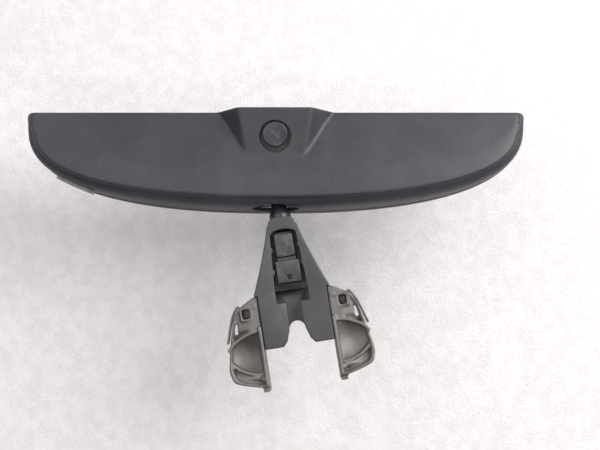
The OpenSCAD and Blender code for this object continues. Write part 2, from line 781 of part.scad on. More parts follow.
collar_r = 6.4;
saddle_end = wing_start + 12;

// A point in the wing's own proportions: 0 to 1 from the inner to the outer edge and from start to end
function in_wing(f, g, inset) = let (
        half_u = (wing_outer - wing_inner) / 2,
        half_g = (wing_end - wing_start) / 2
    ) [wing_inner + half_u + (2 * f - 1) * (half_u - inset),
        wing_start + half_g + (2 * g - 1) * (half_g - inset)];

function wing_outline(inset) = concat(
    [in_wing(0, 1, inset), in_wing(0, 0, inset)],
    curve([in_wing(0.12, 0, inset), in_wing(0.46, 0.08, inset), in_wing(0.68, 0.18, inset),
        in_wing(0.79, 0.32, inset), in_wing(0.89, 0.5, inset), in_wing(1, 0.73, inset),
        in_wing(0.98, 0.83, inset), in_wing(0.84, 0.92, inset), in_wing(0.2, 1, inset)], 4));

// A rib of the given width along a curve
module rib(points, width) {
    c = curve(points, 5);
    side = [for (i = [0:len(c) - 1]) let (t = tangent(c, i)) [-t[1], t[0]] * width / 2];
    polygon(concat([for (i = [0:len(c) - 1]) c[i] + side[i]], [for (i = [len(c) - 1:-1:0]) c[i] - side[i]]));
}

rib_w = 1.8;
near_rib = [in_wing(0, 0.36, 0), in_wing(0.43, 0.41, 0), in_wing(0.8, 0.53, 0), in_wing(1, 0.56, 0)];
far_rib = [in_wing(0, 0.89, 0), in_wing(0.4, 0.86, 0), in_wing(0.7, 0.77, 0), in_wing(0.95, 0.62, 0)];
window_at = in_wing(0.71, 0.33, 0);
deck_end = 0.34;
window_size = [3.6, 7];
pocket_size = [3.2, 5];
tab_w = 3.4;
tab_l = 2.5;

module wing() {
    difference() {
        union() {
            difference() {
                slab(wing_low, wing_rim) polygon(wing_outline(0));
                slab(wing_low + wing_floor, wing_rim + 1) polygon(wing_outline(wing_wall));
            }
            intersection() {
                slab(wing_low, wing_rim) polygon(wing_outline(0.5));
                union() {
                    translate([0, wing_low, 0])
                        cube([wing_outer, wing_depth - 4, in_wing(0, deck_end, 0)[1]]);
                    slab(wing_low, wing_rim - 1.5) rib(near_rib, rib_w);
                    slab(wing_low, wing_rim - 2.5) rib(far_rib, rib_w);
                    for (w = seat_ends) translate([seat_u, 0, w]) rotate([90, 0, 0])
                        translate([0, 0, -wing_rim + 0.2]) cylinder(h = wing_depth - 1, d = pad_d + 1);
                }
            }
            translate([wing_inner, wing_low, wing_end - 1]) cube([tab_w, wing_depth - 3, 1 + tab_l]);
            for (w = seat_ends) translate([seat_u, wing_rim - 2, w]) rotate([-90, 0, 0])
                cylinder(h = 2 + pad_h, d = pad_d);
        }
        translate([window_at[0] - window_size[0] / 2, wing_low - 1, window_at[1] - window_size[1] / 2])
            cube([window_size[0], wing_depth + 2, window_size[1]]);
        translate([wing_inner + 5.2, wing_rim - 10, wing_start + 4.6])
            cube([pocket_size[0], 12, pocket_size[1]]);
        clip_tab(snug);
        // the groove in the outer wall beside the clip's free end
        slab(wing_rim - 3, wing_rim + 1) rib([in_wing(0.93, 0.56, -0.6), in_wing(0.98, 0.7, -0.6)], 1.6);
    }
}
seat_u = wing_inner + pad_d / 2 + 0.6;
clip_out = -slack - clip_t / 2;

// The turned end of a leaf spring, which hooks into the wing's wall
module clip_tab(gap) {
    slab(wing_rim - clip_w - gap, wing_rim - 2 + gap)
        rib([in_wing(0.56, 0.1, clip_out), in_wing(0.5, 0.13, 1 + gap)], clip_t + 2 * gap);
}

module foot_casting() {
    color([0.5, 0.48, 0.46]) at_arm() {
        difference() {
            union() {
                both_sides() wing();
                slab(wing_low, -cover_half) translate([-wing_inner - 1, wing_start + 0.5])
                    square([2 * wing_inner + 2, saddle_end - wing_start - 0.5]);
                translate([-spine_half, wing_low, wing_start + 2])
                    cube([2 * spine_half, spine_top - wing_low, saddle_end - wing_start - 2]);
                translate([-spine_half, spine_low, stem_start + 1])
                    cube([2 * spine_half, spine_t, saddle_end - stem_start - 1]);
                translate([0, 0, stem_start]) cylinder(h = socket_w, r = collar_r);
            }
            translate([0, 0, stem_start - 1]) cylinder(h = socket_w + 1, r = shank_r);
            translate([0, 0, stem_start]) cylinder(h = 10, d = lead_d + 0.8);
            for (x = [-1, 1]) translate([x * screw_u, wing_low - 1, screw_at]) rotate([-90, 0, 0])
                cylinder(h = 8, r = screw_r + 0.2);
            for (x = [-1, 1]) translate([x * screw_u, wing_low - 1, screw_at]) rotate([-90, 0, 0])
                cylinder(h = 1.8, r = 2.1);
        }
    }
}

// Two screws that hold the stem cover to the casting's saddle
module cover_screws() {
    color([0.5, 0.5, 0.52]) at_arm() for (x = [-1, 1]) translate([x * screw_u, wing_low, screw_at])
        rotate([-90, 0, 0]) {
            cylinder(h = 0.8, r = 2);
            cylinder(h = 7, r = screw_r - 0.02);
        }
}

// Leaf spring that lies along the outside of a wing, with a free tip
module clip_form() {
    slab(wing_rim - 1 - clip_w, wing_rim - 1)
        rib([in_wing(0.56, 0.1, clip_out), in_wing(0.7, 0.17, clip_out), in_wing(0.81, 0.3, clip_out),
            in_wing(0.9, 0.47, clip_out - 0.4)], clip_t);
    clip_tab(0);
}

module spring_clip_left() {
    color([0.62, 0.6, 0.56]) at_arm() mirror([1, 0, 0]) clip_form();
}

module spring_clip_right() {
    color([0.62, 0.6, 0.56]) at_arm() clip_form();
}

foot_casting();
stem_cover();
ball_stud();
spring_clip_left();
spring_clip_right();
harness_plug();
socket_header();
header_pins();
cover_screws();
arm_lead();
ball_liner();
socket_cup();
rear_casing();
front_bezel();
front_glass();
edge_seal();
rear_glass();
bus_clips();
foam_pad();
glass_carrier();
carrier_screws();
socket_seat();
socket_retainer();
socket_spring();
retainer_screws();
circuit_board();
board_chips();
board_header();
ambient_sensor();
light_tube();
sensor_cap();
glare_sensor();
glare_window();
side_insert();
microphone();
head_lead();
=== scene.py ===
"""Looks of an interior rearview mirror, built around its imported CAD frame.

The outer pieces are rebuilt as smooth meshes over the CAD nodes they stand for. Every other node keeps
its CAD shape and gets its finish here. Shapes are worked out in millimetres, in the head's own frame (Y = 0
is the bezel's face, Z = 0 the straight edge) or in the arm's own frame (Z runs from the ball centre to the
foot), and are placed in metres in the row frame.
"""
import json
import logging
import math
from dataclasses import dataclass, field
from enum import Enum
from typing import Iterable, Sequence

import bmesh
import bpy
from mathutils import Matrix, Vector


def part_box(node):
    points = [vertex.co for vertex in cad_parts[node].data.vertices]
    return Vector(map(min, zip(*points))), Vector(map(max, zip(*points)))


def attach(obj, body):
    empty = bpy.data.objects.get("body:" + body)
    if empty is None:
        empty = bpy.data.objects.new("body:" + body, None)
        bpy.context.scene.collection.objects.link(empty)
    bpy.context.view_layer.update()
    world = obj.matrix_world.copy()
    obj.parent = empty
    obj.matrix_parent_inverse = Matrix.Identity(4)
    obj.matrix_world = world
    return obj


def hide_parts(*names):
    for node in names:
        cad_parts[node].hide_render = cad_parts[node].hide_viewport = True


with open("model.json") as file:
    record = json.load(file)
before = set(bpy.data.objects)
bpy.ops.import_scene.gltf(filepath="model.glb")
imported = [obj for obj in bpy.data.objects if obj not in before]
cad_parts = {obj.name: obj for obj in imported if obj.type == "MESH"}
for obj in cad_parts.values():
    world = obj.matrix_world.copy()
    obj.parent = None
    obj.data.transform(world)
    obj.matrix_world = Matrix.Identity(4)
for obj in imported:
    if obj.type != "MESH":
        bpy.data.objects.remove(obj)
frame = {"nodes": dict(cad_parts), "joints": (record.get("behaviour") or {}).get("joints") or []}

LOG = logging.getLogger("mirror")
MM = 0.001
MIX_COLOURS = (6, 7)  # The colour inputs of a mix node.
MIX_RESULT = 2  # Its colour output.
FAR = 1e9  # A place off the head's ends, where its back doesn't bulge.
COVER_SCREW_U = 11.0  # How far the cover screws are from the arm's middle, in millimetres.
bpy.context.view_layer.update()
Point2 = tuple[float, float]
Point3 = tuple[float, float, float]
Colour = tuple[float, float, float]
Thing = bpy.types.Object
Tree = bpy.types.NodeTree
Node = bpy.types.Node
Socket = bpy.types.NodeSocket
Material = bpy.types.Material


class Body(Enum):
    """The CAD bodies that pieces ride on."""

    ARM = "arm"
    LINER = "liner"
    CUP = "cup"
    HEAD = "head"


# ---------- Places ----------


@dataclass(frozen=True)
class Places:
    """Where the head and the arm lie in the row frame.

    Attributes:
        ball: Centre of the ball joint, in metres.
        lean: Lean of the arm from upright, in degrees.
    """

    ball: Vector
    lean: float = 9.0

    def head(self) -> Matrix:
        """Matrix from the head's millimetres to the row frame."""
        low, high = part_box("front_bezel")
        corner = Vector(((low.x + high.x) / 2, low.y, low.z))
        return Matrix.Translation(corner) @ Matrix.Scale(MM, 4)

    def arm(self) -> Matrix:
        """Matrix from the arm's millimetres to the row frame."""
        turn = Matrix.Rotation(math.radians(self.lean), 4, "Y")
        return Matrix.Translation(self.ball) @ turn @ Matrix.Scale(MM, 4)


PLACES = Places(ball=Vector(frame["joints"][0]["pos_m"]))


# ---------- Mesh tools ----------


def make_mesh(name: str, points: Sequence[Point3], faces: Sequence[Sequence[int]], place: Matrix) -> Thing:
    """Makes a mesh object whose place is in its vertices.

    Args:
        name: Name of the object.
        points: Vertices, in millimetres in the frame of place.
        faces: Vertex numbers of each face.
        place: Matrix that takes the vertices to the row frame.

    Returns:
        The linked object, at the origin.
    """
    mesh = bpy.data.meshes.new(name)
    mesh.from_pydata([place @ Vector(p) for p in points], [], faces)
    mesh.validate()
    piece = bpy.data.objects.new(name, mesh)
    bpy.context.scene.collection.objects.link(piece)
    return piece


def tidy_mesh(piece: Thing, merge: float = 1e-6) -> None:
    """Merges doubled vertices and points the faces outwards.

    Args:
        piece: The mesh object.
        merge: Distance under which vertices are merged, in metres.
    """
    work = bmesh.new()
    work.from_mesh(piece.data)
    bmesh.ops.remove_doubles(work, verts=work.verts, dist=merge)
    bmesh.ops.dissolve_degenerate(work, edges=work.edges, dist=merge)
    bmesh.ops.recalc_face_normals(work, faces=work.faces)
    work.to_mesh(piece.data)
    work.free()


def shade(piece: Thing, angle: float = 35.0) -> Thing:
    """Shades smooth, with sharp edges where faces meet at more than an angle.

    Args:
        piece: The mesh object.
        angle: The angle, in degrees.

    Returns:
        The piece.
    """
    limit = math.radians(angle)
    work = bmesh.new()
    work.from_mesh(piece.data)
    for face in work.faces:
        face.smooth = True
    for edge in work.edges:
        edge.smooth = len(edge.link_faces) == 2 and edge.calc_face_angle(0.0) < limit
    work.to_mesh(piece.data)
    work.free()
    return piece


def bake(piece: Thing) -> Thing:
    """Turns a piece's modifiers into its plain mesh.

    Args:
        piece: An object with live modifiers.

    Returns:
        The same object, with its modifiers applied and removed.
    """
    bpy.context.view_layer.update()
    graph = bpy.context.evaluated_depsgraph_get()
    mesh = bpy.data.meshes.new_from_object(piece.evaluated_get(graph))
    piece.modifiers.clear()
    old, piece.data = piece.data, mesh
    mesh.name = piece.name
    bpy.data.meshes.remove(old)
    return piece


def cut(piece: Thing, cutters: Iterable[Thing]) -> Thing:
    """Takes cutters out of a piece and removes them.

    Args:
        piece: The closed mesh that is cut.
        cutters: Closed meshes.

    Returns:
        The piece.
    """
    for cutter in cutters:
        step = piece.modifiers.new("cut", "BOOLEAN")
        step.operation = "DIFFERENCE"
        step.solver = "EXACT"
        step.object = cutter
        bake(piece)
        bpy.data.objects.remove(cutter)
    return piece


def join(name: str, pieces: Sequence[Thing]) -> Thing:
    """Puts the meshes of several pieces into one object.

    Args:
        name: Name of the new object.
        pieces: Mesh objects at the origin, which are removed.

    Returns:
        The new object.
    """
    work = bmesh.new()
    for piece in pieces:
        work.from_mesh(piece.data)
    mesh = bpy.data.meshes.new(name)
    work.to_mesh(mesh)
    work.free()
    for piece in pieces:
        bpy.data.objects.remove(piece)
    made = bpy.data.objects.new(name, mesh)
    bpy.context.scene.collection.objects.link(made)
    return made


def melt(piece: Thing, voxel: float, passes: int, strength: float = 0.5) -> Thing:
    """Fuses overlapping solids into one skin with the soft edges of a casting.

    Args:
        piece: Closed, overlapping meshes in one object.
        voxel: Size of the voxels, in millimetres.
        passes: Smoothing passes.
        strength: Share of the way that a pass moves a vertex.

    Returns:
        The piece.
    """
    step = piece.modifiers.new("melt", "REMESH")
    step.mode = "VOXEL"
    step.voxel_size = voxel * MM
    step.use_smooth_shade = True
    soft = piece.modifiers.new("soften", "SMOOTH")
    soft.factor = strength
    soft.iterations = passes
    return bake(piece)


def strip(count: int, a: int, b: int) -> list[list[int]]:
    """Faces between two rings of count vertices, which start at the vertices a and b."""
    return [[a + i, a + (i + 1) % count, b + (i + 1) % count, b + i] for i in range(count)]


def loft(name: str, rings: Sequence[Sequence[Point3]], place: Matrix) -> Thing:
    """Skins closed rings of the same number of points, and closes both ends.

    Args:
        name: Name of the object.
        rings: Rings of points, in millimetres.
        place: Matrix to the row frame.

    Returns:
        The closed mesh.
    """
    count = len(rings[0])
    points = [p for ring in rings for p in ring]
    faces: list[list[int]] = []
    for k in range(len(rings) - 1):
        faces += strip(count, k * count, (k + 1) * count)
    for k in (0, len(rings) - 1):
        middle = [sum(p[a] for p in rings[k]) / count for a in range(3)]
        points.append((middle[0], middle[1], middle[2]))
        centre = len(points) - 1
        faces.extend([k * count + i, k * count + (i + 1) % count, centre] for i in range(count))
    piece = make_mesh(name, points, faces, place)
    tidy_mesh(piece)
    return piece


def lathe(name: str, profile: Sequence[Point2], place: Matrix, steps: int = 72) -> Thing:
    """Turns a profile of (radius, height) about Z, closed at both ends.

    Args:
        name: Name of the object.
        profile: Radii and heights, in millimetres, from one end to the other.
        place: Matrix to the row frame.
        steps: Points in each ring.

    Returns:
        The closed mesh.
    """
    turns = [2 * math.pi * k / steps for k in range(steps)]
    rings = [[(r * math.cos(t), r * math.sin(t), z) for t in turns] for r, z in profile]
    return loft(name, rings, place)


def upright(place: Matrix, x: float, y: float, z: float) -> Matrix:
    """Matrix at a point of place, with its Z along the Y of place."""
    return place @ Matrix.Translation((x, y, z)) @ Matrix.Rotation(-math.pi / 2, 4, "X")


def slab(name: str, outline: Sequence[Point2], low: float, high: float, place: Matrix) -> Thing:
    """Extrudes an outline in X and Z along Y.

    Args:
        name: Name of the object.
        outline: Points of X and Z, in millimetres.
        low: Lower Y.
        high: Higher Y.
        place: Matrix to the row frame.

    Returns:
        The closed mesh.
    """
    count = len(outline)
    points = [(x, y, z) for y in (low, high) for x, z in outline]
    faces = strip(count, 0, count)
    faces += [list(range(count))[::-1], list(range(count, 2 * count))]
    piece = make_mesh(name, points, faces, place)
    tidy_mesh(piece)
    return piece


def box(name: str, low: Point3, high: Point3, place: Matrix) -> Thing:
    """A closed block between two corners, in millimetres in the frame of place."""
    outline = [(low[0], low[2]), (high[0], low[2]), (high[0], high[2]), (low[0], high[2])]
    return slab(name, outline, low[1], high[1], place)


def soften_edges(piece: Thing, width: float, steps: int = 2, angle: float = 38.0) -> Thing:
    """Rounds the sharp edges of a piece.

    Args:
        piece: The mesh object.
        width: Width of the rounding, in millimetres.
        steps: Segments across it.
        angle: Edges that are sharper than this, in degrees, are rounded.

    Returns:
        The piece.
    """
    step = piece.modifiers.new("edges", "BEVEL")
    step.width = width * MM
    step.segments = steps
    step.limit_method = "ANGLE"
    step.angle_limit = math.radians(angle)
    step.use_clamp_overlap = True
    step.harden_normals = False
    return bake(piece)


def catmull(points: Sequence[Point2], steps: int) -> list[Point2]:
    """Points of a smooth open curve through the given ones.

    Args:
        points: The points to pass through.
        steps: Steps from each to the next.

    Returns:
        The curve's points.
    """
    made: list[Point2] = []
    for i in range(len(points) - 1):
        a, b = points[max(i - 1, 0)], points[i]
        c, d = points[i + 1], points[min(i + 2, len(points) - 1)]
        for k in range(steps):
            t = k / steps
            made.append(tuple(
                (2 * b[n] + (c[n] - a[n]) * t + (2 * a[n] - 5 * b[n] + 4 * c[n] - d[n]) * t * t
                 + (3 * b[n] - 3 * c[n] + d[n] - a[n]) * t ** 3) / 2 for n in range(len(b))))
    made.append(tuple(points[-1]))
    return made


def band(points: Sequence[Point2], width: float) -> list[Point2]:
    """Outline of a strip of even width along a curve.

    Args:
        points: Points of the curve.
        width: Width of the strip.

    Returns:
        The closed outline.
    """
    sides: list[Point2] = []
    for i in range(len(points)):
        a, b = points[max(i - 1, 0)], points[min(i + 1, len(points) - 1)]
        length = math.hypot(b[0] - a[0], b[1] - a[1])
        sides.append((-(b[1] - a[1]) / length * width / 2, (b[0] - a[0]) / length * width / 2))
    near = [(p[0] + s[0], p[1] + s[1]) for p, s in zip(points, sides)]
    far = [(p[0] - s[0], p[1] - s[1]) for p, s in zip(points, sides)]
    return near + far[::-1]


def resample_open(points: Sequence[Point2], count: int) -> list[Point2]:
    """Evenly spaced points along an open line, with both of its ends.

    Args:
        points: The line.
        count: Number of steps.

    Returns:
        One point more than the steps.
    """
    lengths = [0.0]
    for a, b in zip(points, points[1:]):
        lengths.append(lengths[-1] + math.hypot(b[0] - a[0], b[1] - a[1]))
    made, k = [], 0
    for i in range(count + 1):
        target = lengths[-1] * i / count
        while k < len(points) - 2 and lengths[k + 1] < target:
            k += 1
        t = (target - lengths[k]) / max(lengths[k + 1] - lengths[k], 1e-9)
        made.append((points[k][0] + (points[k + 1][0] - points[k][0]) * t,
                     points[k][1] + (points[k + 1][1] - points[k][1]) * t))
    return made


def resample(points: Sequence[Point2], count: int) -> list[Point2]:
    """Evenly spaced points around a closed outline."""
    return resample_open([*points, points[0]], count)[:-1]


def smooth_max(a: float, b: float, soft: float) -> float:
    """The larger of two values, blended over a width of soft."""
    h = max(soft - abs(a - b), 0.0) / soft
    return max(a, b) + h * h * soft / 4


def smooth_min(a: float, b: float, soft: float) -> float:
    """The smaller of two values, blended over a width of soft."""
    return -smooth_max(-a, -b, soft)


# ---------- Shader groups ----------


class Sock(Enum):
    """Kinds of socket on a shader group."""

    VALUE = "NodeSocketFloat"
    COLOUR = "NodeSocketColor"


def new_group(name: str, inputs: dict[str, tuple[Sock, object]], outputs: dict[str, Sock]) -> Tree:
    """Makes a shader node group with named sockets.

    Args:
        name: Name of the group.
        inputs: Name to (kind, default) of each input.
        outputs: Name to kind of each output.

    Returns:
        The group, with its Group Input and Group Output nodes named "in" and "out".
    """
    tree = bpy.data.node_groups.new(name, "ShaderNodeTree")
    for label, (kind, default) in inputs.items():
        socket = tree.interface.new_socket(label, in_out="INPUT", socket_type=kind.value)
        socket.default_value = default
    for label, kind in outputs.items():
        tree.interface.new_socket(label, in_out="OUTPUT", socket_type=kind.value)
    tree.nodes.new("NodeGroupInput").name = "in"
    tree.nodes.new("NodeGroupOutput").name = "out"
    return tree


def noise(tree: Tree, scale: object, detail: float, roughness: float = 0.55) -> Node:
    """A noise texture on object coordinates.

    Args:
        tree: The node tree.
        scale: A number, or the socket that gives it.
        detail: Octaves of the noise.
        roughness: Weight of the finer octaves.

    Returns:
        The noise node.
    """
    coords = tree.nodes.new("ShaderNodeTexCoord")
    made = tree.nodes.new("ShaderNodeTexNoise")
    made.inputs["Detail"].default_value = detail
    made.inputs["Roughness"].default_value = roughness
    tree.links.new(coords.outputs["Object"], made.inputs["Vector"])
    if isinstance(scale, (int, float)):
        made.inputs["Scale"].default_value = scale
    else:
        tree.links.new(scale, made.inputs["Scale"])
    return made


def ramp(tree: Tree, value: Socket, low: object, high: object, to_low: object = 0.0,
         to_high: object = 1.0) -> Socket:
    """Maps a value from one range to another, clamped.

    Args:
        tree: The node tree.
        value: The socket to map.
        low: Low end of the range, a number or a socket.
        high: High end of the range.
        to_low: What low becomes.
        to_high: What high becomes.

    Returns:
        The mapped socket.
    """
    made = tree.nodes.new("ShaderNodeMapRange")
    made.interpolation_type = "SMOOTHSTEP"
    tree.links.new(value, made.inputs["Value"])
    for label, end in (("From Min", low), ("From Max", high), ("To Min", to_low), ("To Max", to_high)):
        if isinstance(end, (int, float)):
            made.inputs[label].default_value = end
        else:
            tree.links.new(end, made.inputs[label])
    return made.outputs["Result"]


def mix_colour(tree: Tree, factor: Socket, a: object, b: object) -> Socket:
    """Mixes two colours by a socket.

    Args:
        tree: The node tree.
        factor: The mask.
        a: Colour at 0, four numbers or a socket.
        b: Colour at 1.

    Returns:
        The mixed colour's socket.
    """
    made = tree.nodes.new("ShaderNodeMix")
    made.data_type = "RGBA"
    tree.links.new(factor, made.inputs["Factor"])
    for index, end in zip(MIX_COLOURS, (a, b)):
        if isinstance(end, Socket):
            tree.links.new(end, made.inputs[index])
        else:
            made.inputs[index].default_value = end
    return made.outputs[MIX_RESULT]


def combine(tree: Tree, operation: str, a: Socket, b: Socket) -> Socket:
    """The result of a math node on two sockets.

    Args:
        tree: The node tree.
        operation: Blender's name of the operation.
        a: First value.
        b: Second value.

    Returns:
        The result's socket.
    """
    made = tree.nodes.new("ShaderNodeMath")
    made.operation = operation
    tree.links.new(a, made.inputs[0])
    tree.links.new(b, made.inputs[1])
    return made.outputs[0]


def use_group(tree: Tree, group: Tree, values: dict[str, object]) -> Node:
    """Adds a shared group to a tree.

    Args:
        tree: The node tree.
        group: The shared group.
        values: What its inputs are set to, by name.

    Returns:
        The group's node.
    """
    made = tree.nodes.new("ShaderNodeGroup")
    made.node_tree = group
    for label, value in values.items():
        made.inputs[label].default_value = value
    return made


def surface_group() -> Tree:
    """Moulded or cast surface: two tones in soft clouds, uneven gloss and a fine grain."""
    tree = new_group(
        "Surface",
        {"Tone": (Sock.COLOUR, (0.1, 0.1, 0.1, 1)), "Second Tone": (Sock.COLOUR, (0.12, 0.12, 0.12, 1)),
         "Cloud Scale": (Sock.VALUE, 30.0), "Grain Scale": (Sock.VALUE, 2500.0),
         "Rough Low": (Sock.VALUE, 0.4), "Rough High": (Sock.VALUE, 0.5)},
        {"Colour": Sock.COLOUR, "Roughness": Sock.VALUE, "Height": Sock.VALUE})
    given, out = tree.nodes["in"].outputs, tree.nodes["out"].inputs
    clouds = noise(tree, given["Cloud Scale"], 3.0)
    grain = noise(tree, given["Grain Scale"], 2.0)
    mask = ramp(tree, clouds.outputs["Fac"], 0.35, 0.65)
    tree.links.new(mix_colour(tree, mask, given["Tone"], given["Second Tone"]), out["Colour"])
    tree.links.new(ramp(tree, clouds.outputs["Fac"], 0.3, 0.7, given["Rough Low"], given["Rough High"]),
                   out["Roughness"])
    tree.links.new(grain.outputs["Fac"], out["Height"])
    return tree


def wear_group() -> Tree:
    """Edge wear: lightens convex edges in broken patches."""
    tree = new_group(
        "Edge Wear",
        {"Base": (Sock.COLOUR, (0.1, 0.1, 0.1, 1)), "Worn": (Sock.COLOUR, (0.4, 0.4, 0.4, 1)),
         "Amount": (Sock.VALUE, 0.5), "Start": (Sock.VALUE, 0.52), "End": (Sock.VALUE, 0.6)},
        {"Colour": Sock.COLOUR})
    given, out = tree.nodes["in"].outputs, tree.nodes["out"].inputs
    shape = tree.nodes.new("ShaderNodeNewGeometry")
    edge = ramp(tree, shape.outputs["Pointiness"], given["Start"], given["End"])
    patches = noise(tree, 260.0, 4.0)
    broken = combine(tree, "MULTIPLY", edge, ramp(tree, patches.outputs["Fac"], 0.3, 0.62))
    mask = combine(tree, "MULTIPLY", broken, given["Amount"])
    tree.links.new(mix_colour(tree, mask, given["Base"], given["Worn"]), out["Colour"])
    return tree


def dust_group() -> Tree:
    """Dust: pale specks and a faint film over a base colour."""
    tree = new_group(
        "Dust",
        {"Base": (Sock.COLOUR, (0.1, 0.1, 0.1, 1)), "Dust": (Sock.COLOUR, (0.5, 0.48, 0.45, 1)),
         "Film": (Sock.VALUE, 0.03), "Specks": (Sock.VALUE, 0.3)},
        {"Colour": Sock.COLOUR})
    given, out = tree.nodes["in"].outputs, tree.nodes["out"].inputs
    film = noise(tree, 45.0, 5.0, 0.65)
    specks = noise(tree, 1400.0, 1.0)
    film_mask = combine(tree, "MULTIPLY", ramp(tree, film.outputs["Fac"], 0.4, 0.75), given["Film"])
    speck_mask = combine(tree, "MULTIPLY", ramp(tree, specks.outputs["Fac"], 0.7, 0.76), given["Specks"])
    both = combine(tree, "MAXIMUM", film_mask, speck_mask)
    tree.links.new(mix_colour(tree, both, given["Base"], given["Dust"]), out["Colour"])
    return tree


# ---------- Finishes ----------

@dataclass(frozen=True)
class Finish:
    """A surface finish, built once as a material.

    Attributes:
        name: Name of the material.
        tone: Main colour, linear.
        second: Second tone of its clouds.
        rough: Lowest and highest roughness.
        metal: Metallic.
        grain: Scale of the fine grain, in cells for each metre.
        bump: Depth of the grain, in millimetres.
        clouds: Scale of the clouds.
        wear: How much of its edges is worn, from 0 to 1.
        worn: Colour of worn edges.
        film: Strength of the dust film.
        specks: Strength of the dust specks.
        coat: Weight of the clear coat.
        coat_rough: Roughness of the clear coat.
        clear: Transmission weight, for glass and clear plastic.
    """

    name: str
    tone: Colour
    second: Colour
    rough: tuple[float, float] = (0.4, 0.5)
    metal: float = 0.0
    grain: float = 2600.0
    bump: float = 0.02
    clouds: float = 30.0
    wear: float = 0.0
    worn: Colour = (0.45, 0.43, 0.4)
    film: float = 0.0
    specks: float = 0.0
    coat: float = 0.0
    coat_rough: float = 0.12
    clear: float = 0.0

    def build(self, groups: dict[str, Tree]) -> Material:
        """Makes the material.

        Args:
            groups: The shared shader groups, by name.

        Returns:
            The material.
        """
        made = bpy.data.materials.new(self.name)
        made.use_nodes = True
        tree = made.node_tree
        shader = tree.nodes["Principled BSDF"]
        surface = use_group(tree, groups["surface"], {
            "Tone": (*self.tone, 1), "Second Tone": (*self.second, 1), "Cloud Scale": self.clouds,
            "Grain Scale": self.grain, "Rough Low": self.rough[0], "Rough High": self.rough[1]})
        colour = surface.outputs["Colour"]
        for wanted, group, values in (
                (self.wear, "wear", {"Worn": (*self.worn, 1), "Amount": self.wear}),
                (self.film or self.specks, "dust", {"Film": self.film, "Specks": self.specks})):
            if wanted:
                layer = use_group(tree, groups[group], values)
                tree.links.new(colour, layer.inputs["Base"])
                colour = layer.outputs["Colour"]
        tree.links.new(colour, shader.inputs["Base Color"])
        tree.links.new(surface.outputs["Roughness"], shader.inputs["Roughness"])
        if self.bump:
            bump = tree.nodes.new("ShaderNodeBump")
            bump.inputs["Strength"].default_value = 1.0
            bump.inputs["Distance"].default_value = self.bump * MM
            tree.links.new(surface.outputs["Height"], bump.inputs["Height"])
            tree.links.new(bump.outputs["Normal"], shader.inputs["Normal"])
        values = {"Metallic": self.metal, "Coat Weight": self.coat, "Coat Roughness": self.coat_rough,
                  "Transmission Weight": self.clear}
        for label, value in values.items():
            shader.inputs[label].default_value = value
        return made

    def one_sided(self, groups: dict[str, Tree]) -> Material:
        """Makes the material, seen only from the side that its faces point to."""
        made = self.build(groups)
        tree = made.node_tree
        shader, out = tree.nodes["Principled BSDF"], tree.nodes["Material Output"]
        clear = tree.nodes.new("ShaderNodeBsdfTransparent")
        side = tree.nodes.new("ShaderNodeNewGeometry")
        mix = tree.nodes.new("ShaderNodeMixShader")
        tree.links.new(side.outputs["Backfacing"], mix.inputs["Fac"])
        tree.links.new(shader.outputs["BSDF"], mix.inputs[1])
        tree.links.new(clear.outputs["BSDF"], mix.inputs[2])
        tree.links.new(mix.outputs["Shader"], out.inputs["Surface"])
        return made


CASING = Finish("casing satin", (0.023, 0.0245, 0.031), (0.029, 0.0305, 0.038), rough=(0.46, 0.54),
                grain=3800.0, bump=0.012, clouds=26.0, wear=0.35, worn=(0.12, 0.12, 0.13), film=0.03,
                specks=0.12)
BEZEL = Finish("bezel satin", (0.03, 0.027, 0.026), (0.045, 0.04, 0.036), rough=(0.3, 0.4), wear=0.5,
               worn=(0.2, 0.15, 0.12), film=0.04, specks=0.2)
CAP = Finish("sensor cap", (0.022, 0.023, 0.03), (0.028, 0.029, 0.036), rough=(0.26, 0.34), grain=4200.0,
             bump=0.006, wear=0.2, worn=(0.2, 0.2, 0.21), specks=0.3)
COVER = Finish("stem cover", (0.034, 0.034, 0.036), (0.042, 0.042, 0.044), rough=(0.42, 0.52), grain=3200.0,
               bump=0.02, wear=0.5, worn=(0.15, 0.145, 0.14), film=0.05)
FOOT = Finish("cast foot", (0.12, 0.113, 0.106), (0.165, 0.154, 0.143), rough=(0.42, 0.56), metal=0.45,
              grain=1900.0, bump=0.05, clouds=60.0, wear=0.9, worn=(0.36, 0.34, 0.32), film=0.06)
STUD = Finish("coated stud", (0.016, 0.017, 0.024), (0.022, 0.023, 0.03), rough=(0.28, 0.38), metal=0.3,
              wear=0.4)
SPRING = Finish("spring steel", (0.09, 0.086, 0.08), (0.13, 0.122, 0.112), rough=(0.34, 0.46), metal=0.8,
                clouds=90.0, wear=0.4, worn=(0.3, 0.29, 0.27))
PLUG = Finish("plug plastic", (0.016, 0.016, 0.02), (0.024, 0.024, 0.028), rough=(0.3, 0.42), wear=0.5,
              worn=(0.12, 0.12, 0.13), film=0.04)
CONTACT = Finish("plated contact", (0.66, 0.56, 0.34), (0.74, 0.64, 0.42), rough=(0.2, 0.3), metal=1.0)
SCREW = Finish("zinc screw", (0.32, 0.32, 0.34), (0.42, 0.42, 0.44), rough=(0.28, 0.4), metal=1.0, wear=0.5)
SHEATH = Finish("lead sheath", (0.02, 0.02, 0.022), (0.03, 0.03, 0.032), rough=(0.5, 0.6), film=0.1)
LINER = Finish("bearing liner", (0.07, 0.07, 0.065), (0.09, 0.09, 0.085), rough=(0.35, 0.45))
CUP = Finish("bearing cup", (0.03, 0.03, 0.033), (0.045, 0.045, 0.05), rough=(0.4, 0.5))
GLASS = Finish("front glass", (0.93, 0.95, 0.95), (0.96, 0.97, 0.97), rough=(0.0, 0.015), bump=0.0, clear=1.0)
MIRROR = Finish("mirror coat", (0.74, 0.77, 0.8), (0.77, 0.79, 0.82), rough=(0.01, 0.03), metal=1.0, bump=0.0)
